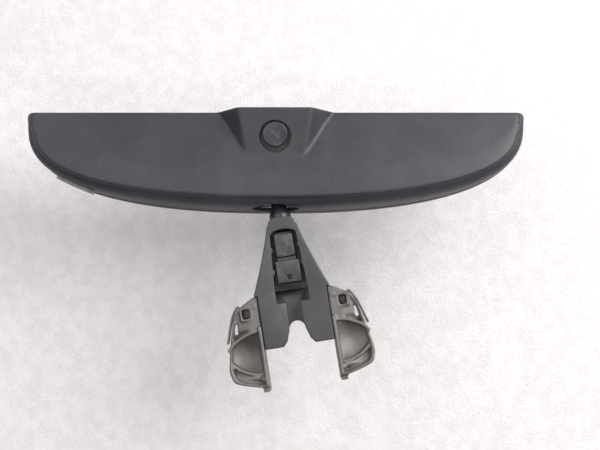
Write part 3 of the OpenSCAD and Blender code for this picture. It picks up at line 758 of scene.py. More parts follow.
SEAL = Finish("sealant", (0.02, 0.02, 0.02), (0.03, 0.03, 0.03), rough=(0.55, 0.7))
FOAM = Finish("foam", (0.05, 0.05, 0.055), (0.07, 0.07, 0.075), rough=(0.8, 0.9), grain=1500.0, bump=0.1)
CARRIER = Finish("carrier", (0.04, 0.04, 0.043), (0.055, 0.055, 0.058), rough=(0.45, 0.55))
SEAT = Finish("die casting", (0.1, 0.1, 0.105), (0.14, 0.14, 0.145), rough=(0.35, 0.5), metal=0.9, bump=0.04)
BOARD = Finish("solder resist", (0.01, 0.07, 0.03), (0.02, 0.1, 0.045), rough=(0.25, 0.35), clouds=240.0,
               coat=0.3)
CHIP = Finish("chip package", (0.015, 0.015, 0.016), (0.025, 0.025, 0.026), rough=(0.45, 0.55))
NYLON = Finish("nylon header", (0.6, 0.57, 0.5), (0.66, 0.63, 0.56), rough=(0.4, 0.5))
PACKAGE = Finish("clear package", (0.6, 0.63, 0.66), (0.66, 0.69, 0.72), rough=(0.1, 0.2), coat=0.5)
CLEAR = Finish("clear plastic", (0.9, 0.92, 0.93), (0.94, 0.95, 0.96), rough=(0.02, 0.06), clear=0.9,
               bump=0.0)
INSERT = Finish("ribbed insert", (0.13, 0.13, 0.135), (0.17, 0.17, 0.175), rough=(0.45, 0.55), wear=0.4)
CAN = Finish("capsule can", (0.36, 0.36, 0.37), (0.44, 0.44, 0.45), rough=(0.3, 0.4), metal=1.0)
TABLE = Finish("table", (0.66, 0.63, 0.635), (0.72, 0.69, 0.695), rough=(0.6, 0.75), grain=700.0, bump=0.3,
               clouds=160.0, specks=0.9)

NODE_FINISH: dict[str, Finish] = {
    "header_pins": CONTACT, "arm_lead": SHEATH, "ball_liner": LINER, "socket_cup": CUP, "edge_seal": SEAL,
    "rear_glass": MIRROR, "bus_clips": CONTACT, "foam_pad": FOAM, "glass_carrier": CARRIER,
    "socket_seat": SEAT, "socket_retainer": SEAT, "socket_spring": STUD, "circuit_board": BOARD,
    "board_chips": CHIP, "board_header": NYLON, "ambient_sensor": PACKAGE, "light_tube": CLEAR,
    "glare_sensor": PACKAGE, "glare_window": CLEAR, "microphone": CAN, "head_lead": SHEATH,
}


# ---------- Head ----------


@dataclass(frozen=True)
class HeadForm:
    """Outer form of the head, in its own millimetres.

    Attributes:
        half_w: Half the width.
        height: Height at the middle.
        crown_depth: Depth of the back at the crown.
        chin_depth: Depth of the back at the straight edge.
        draft: How far the curved wall leans in.
        wall: Wall of the casing.
        rim: Depth of the bezel, where the casing starts.
        rim_inset: Step from the bezel to the casing.
        corner: Radius of the two lower corners.
        crown_edge: Radius between the curved wall and the back.
        bow: How late the curved wall starts to lean, 1 for a straight wall.
        chin_edge: Radius between the straight wall and the back.
        roll: How far the back falls away towards the crown.
        roll_run: Length over which it falls.
        power: Power of the crowned outline.
        roundness: Roundness of its shoulders.
    """

    half_w: float = 125.0
    height: float = 50.0
    crown_depth: float = 27.0
    chin_depth: float = 16.0
    draft: float = 4.0
    wall: float = 2.0
    rim: float = 4.5
    rim_inset: float = 0.5
    corner: float = 2.6
    crown_edge: float = 2.0
    bow: float = 7.0
    chin_edge: float = 0.9
    roll: float = 2.0
    roll_run: float = 15.0
    power: float = 2.3
    roundness: float = 0.36

    def crown_point(self, x: float, inset: float) -> Point2:
        """The point of the curved edge at a place along the head."""
        a, low = self.half_w - inset, inset + self.corner
        share = min(1.0, abs(x) / a) ** (self.power / 2)
        rise = math.sqrt(max(0.0, 1 - share * share)) ** (2 * self.roundness)
        return x, low + (self.height - inset - low) * rise

    def outline(self, inset: float, steps: int = 90) -> list[Point2]:
        """Closed outline of the head, evenly spaced along its edge.

        Args:
            inset: Distance in from the bezel's outside.
            steps: Steps of each quarter of the curved edge.

        Returns:
            Points of X and Z, from the lower right corner round over the crown.
        """
        a, r = self.half_w - inset, self.corner
        points: list[Point2] = []
        for i in range(9):
            t = math.radians(-90 + 90 * i / 8)
            points.append((a - r + r * math.cos(t), inset + r + r * math.sin(t)))
        for i in range(1, 2 * steps):
            t = math.pi / 2 * i / steps
            x = a * math.copysign(abs(math.cos(t)) ** (2 / self.power), math.cos(t))
            z = inset + r + (self.height - 2 * inset - r) * math.sin(t) ** (2 * self.roundness)
            points.append((x, z))
        for i in range(9):
            t = math.radians(180 + 90 * i / 8)
            points.append((-(a - r) + r * math.cos(t), inset + r + r * math.sin(t)))
        return points

    def back(self, x: float, z: float) -> float:
        """Depth of the plain back, which bulges a little in the middle."""
        plane = self.chin_depth + (self.crown_depth - self.chin_depth) * z / (self.height - self.draft)
        across = max(0.0, 1 - (x / self.half_w) ** 2)
        up = max(0.0, 1 - ((z - self.height / 2) / (self.height / 2)) ** 2)
        edge = self.crown_point(min(abs(x), self.half_w), self.draft)[1]
        near = min(1.0, max(0.0, 1 - (edge - z) / self.roll_run))
        return plane + 0.5 * across * up - self.roll * near * near


@dataclass(frozen=True)
class Plateau:
    """The raised block around the sensor, with its recess and cap.

    Attributes:
        half_low: Half its width at the straight edge.
        half_top: Half its width where it runs out.
        run: Height at which it runs out into the back.
        peak: Depth of its outer face at the straight edge.
        foot_low: Width of its flanks at the straight edge.
        foot_top: Width of its flanks where it runs out.
        soft: Width of the blends along its edges.
        recess_r: Radius of the recess.
        recess_z: Height of the recess.
        recess_depth: Depth of the recess.
        cap_r: Radius of the cap.
        cap_shift: How far the cap sits towards the straight edge.
        cap_proud: How far the cap stands out.
    """

    half_low: float = 18.4
    half_top: float = 13.0
    run: float = 30.0
    peak: float = 27.0
    foot_low: float = 12.0
    foot_top: float = 1.5
    soft: float = 1.3
    recess_r: float = 7.7
    recess_z: float = 15.2
    recess_depth: float = 3.0
    cap_r: float = 6.1
    cap_shift: float = 1.1
    cap_proud: float = 1.0

    def fall(self, form: HeadForm) -> float:
        """Fall of the outer face for each millimetre of height."""
        return (self.peak - form.back(FAR, self.run)) / self.run

    def depth(self, form: HeadForm, x: float, z: float) -> float:
        """Depth of the head's back and plateau together, at a place."""
        back = form.back(x, z)
        share = min(1.0, max(0.0, z / self.run))
        face = self.peak - self.fall(form) * z
        half = self.half_low + (self.half_top - self.half_low) * share
        foot = self.foot_low + (self.foot_top - self.foot_low) * share
        steep = max(0.05, (face - form.back(FAR, z)) / foot)
        flank = face - (abs(x) - half) * steep
        return smooth_max(back, smooth_min(face, flank, self.soft), self.soft * 0.8)

    def place(self, form: HeadForm, z: float) -> Matrix:
        """Matrix of a tool that stands on the plateau, with its Z out of the face."""
        depth = self.peak - self.fall(form) * self.recess_z
        tilt = math.atan(self.fall(form))
        return PLACES.head() @ Matrix.Translation((0, depth, z)) @ Matrix.Rotation(tilt - math.pi / 2, 4, "X")


@dataclass(frozen=True)
class SideOpening:
    """The lens-shaped opening in the curved wall.

    Attributes:
        x: Place along the head.
        y: Depth of its middle.
        slope: Slope of the wall there, in degrees.
        length: Length of the lens.
        width: Width of the lens.
        sunk: How far the insert lies under the wall.
    """

    x: float = -98.0
    y: float = 13.0
    slope: float = 24.0
    length: float = 21.0
    width: float = 3.4
    sunk: float = 0.9

    def place(self, form: HeadForm) -> Matrix:
        """Matrix of a tool in the opening, with its Z out of the wall."""
        level = (self.y - form.rim) / (form.crown_depth - form.rim)
        share = (abs(self.x) / form.half_w) ** form.power
        rise = form.corner + (form.height - form.corner) * (1 - share) ** form.roundness
        spot = Vector((self.x, self.y, rise - form.rim_inset - form.draft * level))
        turn = Matrix.Rotation(math.radians(-self.slope), 4, "Y") @ Matrix.Rotation(math.radians(-10), 4, "X")
        return PLACES.head() @ Matrix.Translation(spot) @ turn

    def lens(self, length: float, width: float, steps: int = 16) -> list[Point2]:
        """Outline of a lens."""
        r = (length ** 2 / 4 + width ** 2 / 4) / width
        reach = math.asin(length / 2 / r)
        made: list[Point2] = []
        for side in (1, -1):
            for i in range(steps):
                t = reach * (2 * i / steps - 1)
                made.append((-side * r * math.sin(t), side * (r * math.cos(t) - r + width / 2)))
        return made


@dataclass
class Casing:
    """The head's rear casing, built as one closed skin and then cut.

    Attributes:
        form: The head's form.
        plateau: The sensor plateau.
        opening: The side opening.
        columns: Columns of the back along half of the head outside the plateau.
        fine: Columns across the plateau.
        rows: Rows of the back.
        levels: Shares of the wall's depth at which it has a ring.
        ball: Height and depth of the ball centre.
        slot: Width and depth of the neck slot.
    """

    form: HeadForm
    plateau: Plateau
    opening: SideOpening
    columns: int = 74
    fine: int = 150
    rows: int = 52
    levels: tuple[float, ...] = (0.0, 0.02, 0.2, 0.36, 0.5, 0.62, 0.72, 0.81, 0.89, 0.95, 0.985)
    ball: Point2 = (38.5, 13.5)
    slot: Point2 = (23.4, 15.4)

    def _edge(self, inset: float) -> list[Point2]:
        """Ring of the head's outline: lower edge, right end, curved edge, left end."""
        form, half_fine = self.form, 40.0
        a = form.half_w - inset
        reach = a * 0.985
        marks = [half_fine + (reach - half_fine) * i / self.columns for i in range(1, self.columns + 1)]
        middle = [-half_fine + 2 * half_fine * i / self.fine for i in range(self.fine + 1)]
        xs = [-m for m in reversed(marks)] + middle + marks
        lower = [(max(-(a - form.corner), min(a - form.corner, x)), inset) for x in xs]
        upper = [form.crown_point(x, inset) for x in xs]
        r = form.corner
        corner = [(a - r + r * math.cos(t), inset + r + r * math.sin(t))
                  for t in (math.radians(-90 + 90 * i / 12) for i in range(13))]
        foot = corner[-1][1]
        rise = upper[-1][1] - foot
        side = []
        for i in range(1, 60):
            z = foot + rise * i / 60
            share = ((z - foot) / (form.height - inset - foot)) ** (1 / (2 * form.roundness))
            side.append((a * math.sqrt(max(0.0, 1 - share * share)) ** (2 / form.power), z))
        end = corner + side + [upper[-1]]
        loop = resample_open(end, self.rows)
        right = loop[1:-1]
        left = [(-x, z) for x, z in reversed(right)]
        lower[0], lower[-1] = (-loop[0][0], loop[0][1]), loop[0]
        return lower + right + upper[::-1] + left

    def _ring(self, level: float, angle: float, wall: float) -> list[Point3]:
        """One ring of the wall or of the rounded edge."""
        form, made = self.form, []
        mid = form.height * 0.3
        for x0, z0 in self._edge(form.rim_inset + wall):
            t = min(1.0, z0 / 12)
            r = form.chin_edge + (form.crown_edge - form.chin_edge) * t * t * (3 - 2 * t)
            lean = form.draft * (0.15 + 0.85 * t) * level ** form.bow + r * (1 - math.cos(angle))
            x = x0 * (form.half_w - lean) / form.half_w
            if z0 > mid:
                z = mid + (z0 - mid) * (form.height - mid - lean) / (form.height - mid)
            else:
                z = mid - (mid - z0) * (mid - lean) / mid
            deep = self._depth(x, z, wall)
            made.append((x, form.rim + (deep - r - form.rim) * level + r * math.sin(angle), z))
        return made

    def _depth(self, x: float, z: float, wall: float) -> float:
        """Depth of the outer skin, or of the inner skin with its boss under the recess."""
        deep = self.plateau.depth(self.form, x, z) - wall
        if wall:
            away = math.hypot(x, z - self.plateau.recess_z) - self.plateau.recess_r
            deep -= self.plateau.recess_depth * min(1.0, max(0.0, (4.0 - away) / 2.5))
        return deep

    def _back(self, ring: Sequence[Point3], wall: float) -> list[list[Point3]]:
        """Grid of the back between the four sides of its edge ring."""
        cols, rows = self.fine + 2 * self.columns, self.rows
        low = ring[:cols + 1]
        right = ring[cols:cols + rows + 1]
        high = ring[cols + rows:2 * cols + rows + 1][::-1]
        left = [ring[0], *reversed(ring[2 * cols + rows:])]
        grid: list[list[Point3]] = []
        for j in range(cols + 1):
            u, column = j / cols, []
            for k in range(rows + 1):
                v = k / rows
                spot = []
                for a in (0, 2):
                    flat = (1 - v) * low[j][a] + v * high[j][a] + (1 - u) * left[k][a] + u * right[k][a]
                    flat -= (1 - u) * (1 - v) * low[0][a] + u * (1 - v) * low[-1][a]
                    flat -= (1 - u) * v * high[0][a] + u * v * high[-1][a]
                    spot.append(flat)
                column.append((spot[0], self._depth(spot[0], spot[1], wall), spot[1]))
            grid.append(column)
        return grid

    def skin(self) -> Thing:
        """The closed skin of the casing, before it is cut."""
        cols, rows = self.fine + 2 * self.columns, self.rows
        count = 2 * cols + 2 * rows
        points: list[Point3] = []
        faces: list[list[int]] = []
        shells = []
        for wall in (0.0, self.form.wall):
            rings = [self._ring(level, 0.0, wall) for level in self.levels]
            rings += [self._ring(1.0, math.radians(a), wall) for a in (0, 18, 36, 54, 72, 90)]
            start = len(points)
            for ring in rings:
                points.extend(ring)
            for k in range(len(rings) - 1):
                faces += strip(count, start + k * count, start + (k + 1) * count)
            last = start + (len(rings) - 1) * count
            grid = self._back(rings[-1], wall)
            index: dict[tuple[int, int], int] = {}
            for j in range(cols + 1):
                index[j, 0] = last + j
                index[j, rows] = last + cols + rows + (cols - j)
            for k in range(rows + 1):
                index[cols, k] = last + cols + k
                index[0, k] = last + (2 * cols + rows + (rows - k)) if k else last
            for j in range(1, cols):
                for k in range(1, rows):
                    index[j, k] = len(points)
                    points.append(grid[j][k])
            for j in range(cols):
                for k in range(rows):
                    faces.append([index[j, k], index[j + 1, k], index[j + 1, k + 1], index[j, k + 1]])
            shells.append(start)
        faces += strip(count, shells[0], shells[1])
        piece = make_mesh("rear_casing_shell", points, faces, PLACES.head())
        tidy_mesh(piece)
        return piece

    def build(self) -> Thing:
        """The finished casing.

        Returns:
            The casing with its recess, neck slot and side opening.
        """
        form, top = self.form, self.plateau
        piece = self.skin()
        flare = 0.45
        mouth = [(top.recess_r + flare * (1 - math.sin(t)), -flare * (1 - math.cos(t)))
                 for t in (math.radians(90 * i / 5) for i in range(6))]
        profile = [(0.01, -top.recess_depth), (top.recess_r, -top.recess_depth)]
        profile += mouth[::-1]
        profile += [(top.recess_r + flare, 6.0), (0.01, 6.0)]
        recess = lathe("recess", profile, top.place(form, top.recess_z), 96)
        ends = [(self.slot[0] / 2 * math.cos(t), self.slot[1] / 2 * math.sin(t))
                for t in (2 * math.pi * i / 64 for i in range(64))]
        turn = Matrix.Translation((0, self.ball[1], self.ball[0])) @ Matrix.Rotation(math.pi / 2, 4, "X")
        slot = slab("slot", ends, 0.0, 30.0, PLACES.head() @ turn)
        lens = slab("lens", self.opening.lens(self.opening.length, self.opening.width), -5.0, 5.0,
                    self.opening.place(form) @ Matrix.Rotation(-math.pi / 2, 4, "X"))
        cut(piece, [recess, slot, lens])
        return shade(piece, 32.0)


def ring_sweep(name: str, rings: Sequence[Sequence[Point3]], place: Matrix) -> Thing:
    """Skins rings that close on themselves, the last joining the first.

    Args:
        name: Name of the object.
        rings: Rings of the same number of points, in millimetres.
        place: Matrix to the row frame.

    Returns:
        The closed mesh.
    """
    count, turns = len(rings[0]), len(rings)
    points = [p for ring in rings for p in ring]
    faces = [face for k in range(turns) for face in strip(count, k * count, (k + 1) % turns * count)]
    piece = make_mesh(name, points, faces, place)
    tidy_mesh(piece)
    return piece


@dataclass(frozen=True)
class FrontParts:
    """The bezel and the front glass.

    Attributes:
        form: The head's form.
        face: Width of the bezel's face.
        depth: Depth of the bezel.
        glass_y: Depth at which the glass starts.
        glass_t: Thickness of the glass.
        gap: Gap around the glass.
    """

    form: HeadForm
    face: float = 2.4
    depth: float = 4.5
    glass_y: float = 0.4
    glass_t: float = 1.6
    gap: float = 0.1

    def bezel(self) -> Thing:
        """The bezel, with a rounded outer edge."""
        round_x, round_y = 1.1, 1.2
        profile = [(self.face, self.depth), (self.face, 0.5), (self.face - 0.15, 0.12),
                   (self.face - 0.5, 0.0), (round_x, 0.0)]
        profile += [(round_x - round_x * math.sin(t), round_y - round_y * math.cos(t))
                    for t in (math.radians(90 * i / 6) for i in range(1, 7))]
        profile += [(0.0, self.depth - 0.35), (0.12, self.depth - 0.1), (0.4, self.depth)]
        rings = [[(x, y, z) for x, z in self.form.outline(inset)] for inset, y in profile]
        piece = ring_sweep("front_bezel_rim", rings, PLACES.head())
        return shade(piece, 40.0)

    def glass(self) -> Thing:
        """The front glass, with ground edges."""
        inset = self.face + self.gap
        piece = slab("front_glass_pane", self.form.outline(inset, 70), self.glass_y,
                     self.glass_y + self.glass_t, PLACES.head())
        soften_edges(piece, 0.2, 2)
        return shade(piece, 30.0)


def sensor_cap(form: HeadForm, top: Plateau) -> Thing:
    """The round cap in the recess, with a rolled rim and a slightly domed face."""
    r, proud = top.cap_r, top.cap_proud
    profile = [(0.01, -2.4), (r - 0.6, -2.4), (r - 0.35, -1.3), (r, -1.1), (r, proud - 0.75)]
    profile += [(r - 0.55 * (1 - math.cos(t)), proud - 0.75 + 0.55 * math.sin(t))
                for t in (math.radians(18 * i) for i in range(1, 5))]
    profile += [(r - 0.75, proud - 0.17), (r * 0.6, proud - 0.06), (r * 0.3, proud - 0.01), (0.01, proud)]
    piece = lathe("sensor_cap_disc", profile, top.place(form, top.recess_z - top.cap_shift), 96)
    return shade(piece, 45.0)


# ---------- Arm and foot ----------


@dataclass(frozen=True)
class WingForm:
    """A wing of the foot, in the arm's millimetres.

    Attributes:
        inner: Distance of its inner edge from the middle.
        outer: Distance of its outer edge.
        start: Where it starts along the arm.
        end: Where it ends.
        low: Level of its floor.
        rim: Level of its rim.
    """

    inner: float = 17.0
    outer: float = 34.6
    start: float = 52.5
    end: float = 95.0
    low: float = -10.0
    rim: float = 8.0

    def at(self, f: float, g: float, inset: float = 0.0) -> Point2:
        """A point in the wing's proportions, from 0 to 1 across and along."""
        half_u, half_w = (self.outer - self.inner) / 2, (self.end - self.start) / 2
        return (self.inner + half_u + (2 * f - 1) * (half_u - inset),
                self.start + half_w + (2 * g - 1) * (half_w - inset))

    def outline(self, inset: float) -> list[Point2]:
        """Closed outline of the wing."""
        marks = [(0.12, 0), (0.46, 0.08), (0.68, 0.18), (0.79, 0.32), (0.89, 0.5), (1, 0.73), (0.98, 0.83),
                 (0.84, 0.92), (0.2, 1)]
        bow = catmull([self.at(f, g, inset) for f, g in marks], 10)
        return [self.at(0, 1, inset), self.at(0, 0, inset)] + bow


@dataclass(frozen=True)
class FootCasting:
    """The cast foot with its two wings.

    Attributes:
        wing: Form of a wing.
        seat_r: Radius of a seat.
        seat_y: Level of the seats.
        rib: Width of a rib.
        bowl: Depth of the dish in a wing's upper face.
        end_fall: Fall of that face at its far end.
        voxel: Voxel size of the cast skin.
    """

    wing: WingForm
    seat_r: float = 1.5
    seat_y: float = 7.2
    rib: float = 1.5
    bowl: float = 6.0
    end_fall: float = 5.5
    voxel: float = 0.42

    def _dish(self, u: float, w: float) -> float:
        """Level of the wing's upper face, before its ribs, at a place."""
        wing = self.wing
        f = (u - wing.inner) / (wing.outer - wing.inner)
        g = (w - wing.start) / (wing.end - wing.start)
        bowl = max(0.0, 1 - ((g - 0.62) / 0.27) ** 2) * max(0.0, 1 - ((f - 0.45) / 0.6) ** 2)
        deck = wing.rim - 1.2 - 2.2 * min(1.0, max(0.0, (f - 0.3) / 0.6))
        fall = min(1.0, max(0.0, (g - 0.82) / 0.18))
        return deck - self.bowl * bowl - self.end_fall * fall * fall

    def _body(self) -> Thing:
        """The wing's body: its outline filled up to the dished face."""
        wing, place, steps = self.wing, PLACES.arm(), 22
        ring = resample(wing.outline(0.0), 176)
        middle = wing.at(0.45, 0.55)
        points: list[Point3] = []
        for share in (1 - i / steps for i in range(steps)):
            for u, w in ring:
                x, z = middle[0] + (u - middle[0]) * share, middle[1] + (w - middle[1]) * share
                points.append((x, self._dish(x, z), z))
        count = len(ring)
        faces = [face for k in range(steps - 1) for face in strip(count, k * count, (k + 1) * count)]
        top = len(points)
        points.append((middle[0], self._dish(*middle), middle[1]))
        last = (steps - 1) * count
        faces += [[last + i, last + (i + 1) % count, top] for i in range(count)]
        low = len(points)
        points += [(u, wing.low, w) for u, w in ring]
        faces += [[low + i, low + (i + 1) % count, (i + 1) % count, i] for i in range(count)]
        faces.append([low + i for i in reversed(range(count))])
        piece = make_mesh("wing_body", points, faces, place)
        tidy_mesh(piece)
        return piece

    def _solids(self) -> list[Thing]:
        """The right wing's solids, which overlap each other."""
        wing, place = self.wing, PLACES.arm()
        low, rim = wing.low, wing.rim
        body = self._body()
        window = wing.at(0.76, 0.29)
        hole = (window[0] - 2.1, low - 2, window[1] - 3.8), (window[0] + 2.1, rim + 3, window[1] + 3.8)
        pocket = (wing.inner + 4.6, rim - 7, wing.start + 5.0), (wing.inner + 8.2, rim + 3, wing.start + 9.4)
        cut(body, [box("hole", *hole, place), box("pocket", *pocket, place)])
        collar = box("collar", (pocket[0][0] - 1.0, rim - 5, pocket[0][2] - 1.0),
                     (pocket[1][0] + 1.0, rim - 0.9, pocket[1][2] + 1.0), place)
        cut(collar, [box("pocket", *pocket, place)])
        near, far = (band(catmull([wing.at(f, g) for f, g in marks], 8), self.rib) for marks in (
            ((0.05, 0.37), (0.43, 0.4), (0.8, 0.48), (0.97, 0.56)),
            ((0.05, 0.86), (0.4, 0.84), (0.72, 0.78), (0.97, 0.68))))
        edge = [(-0.3, rim - 4.5), (-0.3, rim - 2.6), (0.0, rim - 1.8), (0.6, rim - 1.4), (1.2, rim - 1.8),
                (1.7, rim - 2.6), (1.9, rim - 4.5)]
        rings = [[(u, y, w) for u, w in resample(wing.outline(inset), 170)] for inset, y in edge]
        lip = ring_sweep("lip", rings, place)
        return [
            body, collar, lip,
            slab("near_rib", near, low + 1, rim - 1.0, place),
            slab("far_rib", far, low + 1, rim - 2.4, place),
            box("tab", (wing.inner, low, wing.end - 1.5), (wing.inner + 3.4, rim - 3, wing.end + 2.5), place),
            box("flange", (wing.inner, low, wing.start + 14), (wing.inner + 1.7, rim, wing.end - 0.4), place),
            *self._seats(place),
        ]

    def _seats(self, place: Matrix) -> list[Thing]:
        """The two round seats of a wing."""
        wing, r, made = self.wing, self.seat_r, []
        for w in (wing.start + 4, wing.end - 4):
            spot = upright(place, wing.inner + r + 0.6, 0, w)
            made.append(lathe("seat", [(0.01, wing.low), (r, wing.low), (r, self.seat_y - 0.5),
                                       (r - 0.5, self.seat_y), (0.01, self.seat_y)], spot, 32))
        return made

    def build(self) -> Thing:
        """The casting in one skin.

        Returns:
            The finished piece.
        """
        wing, place = self.wing, PLACES.arm()
        right = join("right", self._solids())
        left = right.copy()
        left.data = right.data.copy()
        bpy.context.scene.collection.objects.link(left)
        left.data.transform(place @ Matrix.Scale(-1, 4, (1, 0, 0)) @ place.inverted())
        left.data.flip_normals()
        end = wing.start + 12
        middle = [
            box("plate", (-wing.inner - 1, wing.low, wing.start + 0.5), (wing.inner + 1, -8.0, end), place),
            box("key", (-4.6, wing.low, wing.start + 2), (4.6, -3.1, end), place),
            box("spine", (-4.6, -6.3, 18.5), (4.6, -3.1, end), place),
            lathe("collar", [(0.01, 17.5), (6.4, 17.5), (6.4, 21.5), (0.01, 21.5)], place, 48),
        ]
        piece = join("foot_casting_skin", [right, left] + middle)
        melt(piece, self.voxel, 7, 0.5)
        for x in (-COVER_SCREW_U, COVER_SCREW_U):
            spot = upright(place, x, wing.low, wing.start + 6.5)
            cut(piece, [lathe("screw_seat", [(0.01, -1), (2.3, -1), (2.3, 0.9), (0.01, 0.9)], spot, 32)])
        return shade(piece, 50.0)


@dataclass(frozen=True)
class StemCover:
    """The plastic cover of the arm, with the open connector channel.

    Attributes:
        start: Where it starts along the arm.
        half_start: Half its width there.
        shoulder: Where it meets the wings.
        half_end: Half its width there.
        leg_half: Half the width over the legs.
        leg_end: Where the legs end.
        tip: Half the width between the leg tips' outer corners.
        notch: Where the notch starts.
        notch_r: Half the width of the notch.
        half_t: Half the thickness.
        channel: Start and end of the channel.
        channel_half: Half the channel's width at its start and its end.
        floor: Level of the channel's floor.
        saddle_half: Half the width of the saddle channel.
        lead_r: Radius of the lead's hole.
    """

    start: float = 17.5
    half_start: float = 6.8
    shoulder: float = 52.2
    half_end: float = 18.5
    leg_half: float = 16.7
    leg_end: float = 77.8
    tip: float = 7.6
    notch: float = 66.2
    notch_r: float = 4.0
    half_t: float = 8.0
    channel: Point2 = (21.8, 51.2)
    channel_half: Point2 = (6.4, 8.0)
    floor: float = -1.5
    saddle_half: float = 3.75
    lead_r: float = 1.7

    def half(self, w: float) -> float:
        """Half the width at a place along the arm."""
        share = (w - self.start) / (self.shoulder - self.start)
        return self.half_start + (self.half_end - self.half_start) * share ** 1.2

    def outline(self) -> list[Point2]:
        """Closed outline of the cover."""
        side = [(self.half_start - 3.0, self.start - 1.6), (self.half_start - 1.7, self.start - 0.9),
                (self.half_start - 0.7, self.start + 0.2), (self.half_start - 0.1, self.start + 1.9)]
        side += [(self.half(w), w) for w in
                 (self.start + (self.shoulder - self.start) * i / 24 for i in range(2, 25))]
        side += [(self.leg_half, self.shoulder), (self.leg_half, self.leg_end), (self.tip, self.leg_end)]
        side += catmull([(self.notch_r + 1.7, self.leg_end - 2.4), (self.notch_r + 0.9, self.leg_end - 5),
                         (self.notch_r, self.notch + self.notch_r)], 5)
        side += [(self.notch_r * math.cos(a), self.notch + self.notch_r * (1 - math.sin(a)))
                 for a in (math.radians(10 * i) for i in range(1, 9))]
        side += [(0.0, self.notch)]
        return side + [(-u, w) for u, w in side[-2::-1]]

    def build(self) -> Thing:
        """The finished cover.

        Returns:
            The cover with its channel.
        """
        place = PLACES.arm()
        piece = slab("stem_cover_shell", self.outline(), -self.half_t, self.half_t, place)
        soften_edges(piece, 1.3, 4, 50.0)
        near, far = self.channel
        a, b = self.channel_half
        side = [(a * math.sin(t), near + 3 - 3 * math.cos(t))
                for t in (math.radians(10 * i) for i in range(1, 10))]
        side += [(b, far)]
        ring = [(0.0, near)] + side + [(-u, w) for u, w in reversed(side)]
        top = self.half_t + 3
        main = slab("main", ring, self.floor, top, place)
        ramp_side = [(far - 0.6, self.floor), (far + 6.2, self.floor + 4.6), (far + 6.2, top), (far - 0.6, top)]
        slope = make_mesh("slope", [(u, v, w) for u in (-b, b) for w, v in ramp_side],
                          [[0, 1, 2, 3], [7, 6, 5, 4], [0, 4, 5, 1], [1, 5, 6, 2], [2, 6, 7, 3], [3, 7, 4, 0]],
                          place)
        tidy_mesh(slope)
        saddle = box("saddle", (-self.saddle_half, self.floor + 3, far - 1),
                     (self.saddle_half, top, self.notch + 3), place)
        lead = lathe("lead", [(0.01, self.start - 1), (self.lead_r, self.start - 1), (self.lead_r, near + 1),
                              (0.01, near + 1)], place, 32)
        cut(piece, [main, slope, saddle, lead])
        soften_edges(piece, 0.35, 2, 45.0)
        return shade(piece)

    def catches(self) -> Thing:
        """Small catches on the channel's walls, which hold the connectors."""
        place, (near, far), (a, b) = PLACES.arm(), self.channel, self.channel_half
        made = []
        for side, w in ((-1, 31.4), (1, 30.2), (1, 39.0), (-1, 42.0)):
            half = a + (b - a) * (w - near) / (far - near)
            low, high = sorted((side * (half - 0.75), side * (half + 0.3)))
            catch = box("catch", (low, 2.5, w - 1.2), (high, self.half_t - 0.7, w + 1.2), place)
            made.append(soften_edges(catch, 0.3, 2))
        return shade(join("stem_cover_catches", made))


@dataclass(frozen=True)
class Plugs:
    """The harness plug and the socket header in the arm's channel.

    Attributes:
        plug: Width and length of the harness plug.
        plug_at: Where the plug starts along the arm.
        header: Width and length of the socket header.
        header_at: Where the header starts.
        low: Level of both undersides.
        plug_top: Level of the plug's top.
        header_top: Level of the header's top.
    """

    plug: Point2 = (8.8, 11.8)
    plug_at: float = 23.2
    header: Point2 = (11.3, 10.5)
    header_at: float = 37.2
    low: float = -1.3
    plug_top: float = 6.4
    header_top: float = 6.8

    def build_plug(self) -> Thing:
        """The harness plug, with its flat latch."""
        place, half, at = PLACES.arm(), self.plug[0] / 2, self.plug_at
        end, top = at + self.plug[1], self.plug_top
        body = box("harness_plug_body", (-half, self.low, at), (half, top, end), place)
        cut(body, [box("step", (-half - 1, top - 1.2, at - 1), (half + 1, top + 1, at + 1.1), place)])
        soften_edges(body, 0.32, 2)
        latch = soften_edges(box("latch", (-1.5, top - 1, at + 2), (1.5, top + 0.25, end - 2.4), place), 0.2, 2)
        return shade(join("harness_plug_shell", [body, latch]))

    def build_header(self) -> Thing:
        """The socket header, with its open end and its square hole."""
        place, half, at = PLACES.arm(), self.header[0] / 2, self.header_at
        end, top = at + self.header[1], self.header_top
        body = box("socket_header_body", (-half, self.low, at), (half, top, end), place)
        tools = [box("hole", (-1.0, top - 3, end - 3.6), (1.0, top + 1, end - 1.6), place),
                 box("mouth", (-half + 1.2, self.low + 1.8, end - 6), (half - 1.2, self.low + 4.8, end + 1),
                     place)]
        cut(body, tools)
        soften_edges(body, 0.32, 2)
        neck = box("neck", (-half + 1.2, self.low + 1, at - 2.0), (half - 1.2, top - 2.2, at + 0.3), place)
        soften_edges(neck, 0.25, 2)
        return shade(join("socket_header_shell", [body, neck]))


def ball_stud(start: float = 17.5) -> Thing:
    """The ball, its neck and its shank, bored for the lead."""
    ball, neck, shank, bore = 6.2, 3.4, 5.3, 1.8
    reach = math.asin(neck / ball)
    low = math.asin(bore / ball)
    outer = [(ball * math.sin(t), -ball * math.cos(t)) for t in
             (low + (math.pi - reach - low) * i / 30 for i in range(31))]
    outer += [(neck, 6.0), (neck + 0.2, 9.0), (neck + 0.5, 11.6), (shank - 0.25, 13.4), (shank, 14.4),
              (shank, start + 3.5), (shank - 0.5, start + 4.0), (bore, start + 4.0)]
    turns = [2 * math.pi * k / 64 for k in range(64)]
    rings = [[(r * math.cos(t), r * math.sin(t), z) for t in turns] for r, z in outer]
    piece = ring_sweep("ball_stud_turned", rings, PLACES.arm())
    return shade(piece, 40.0)


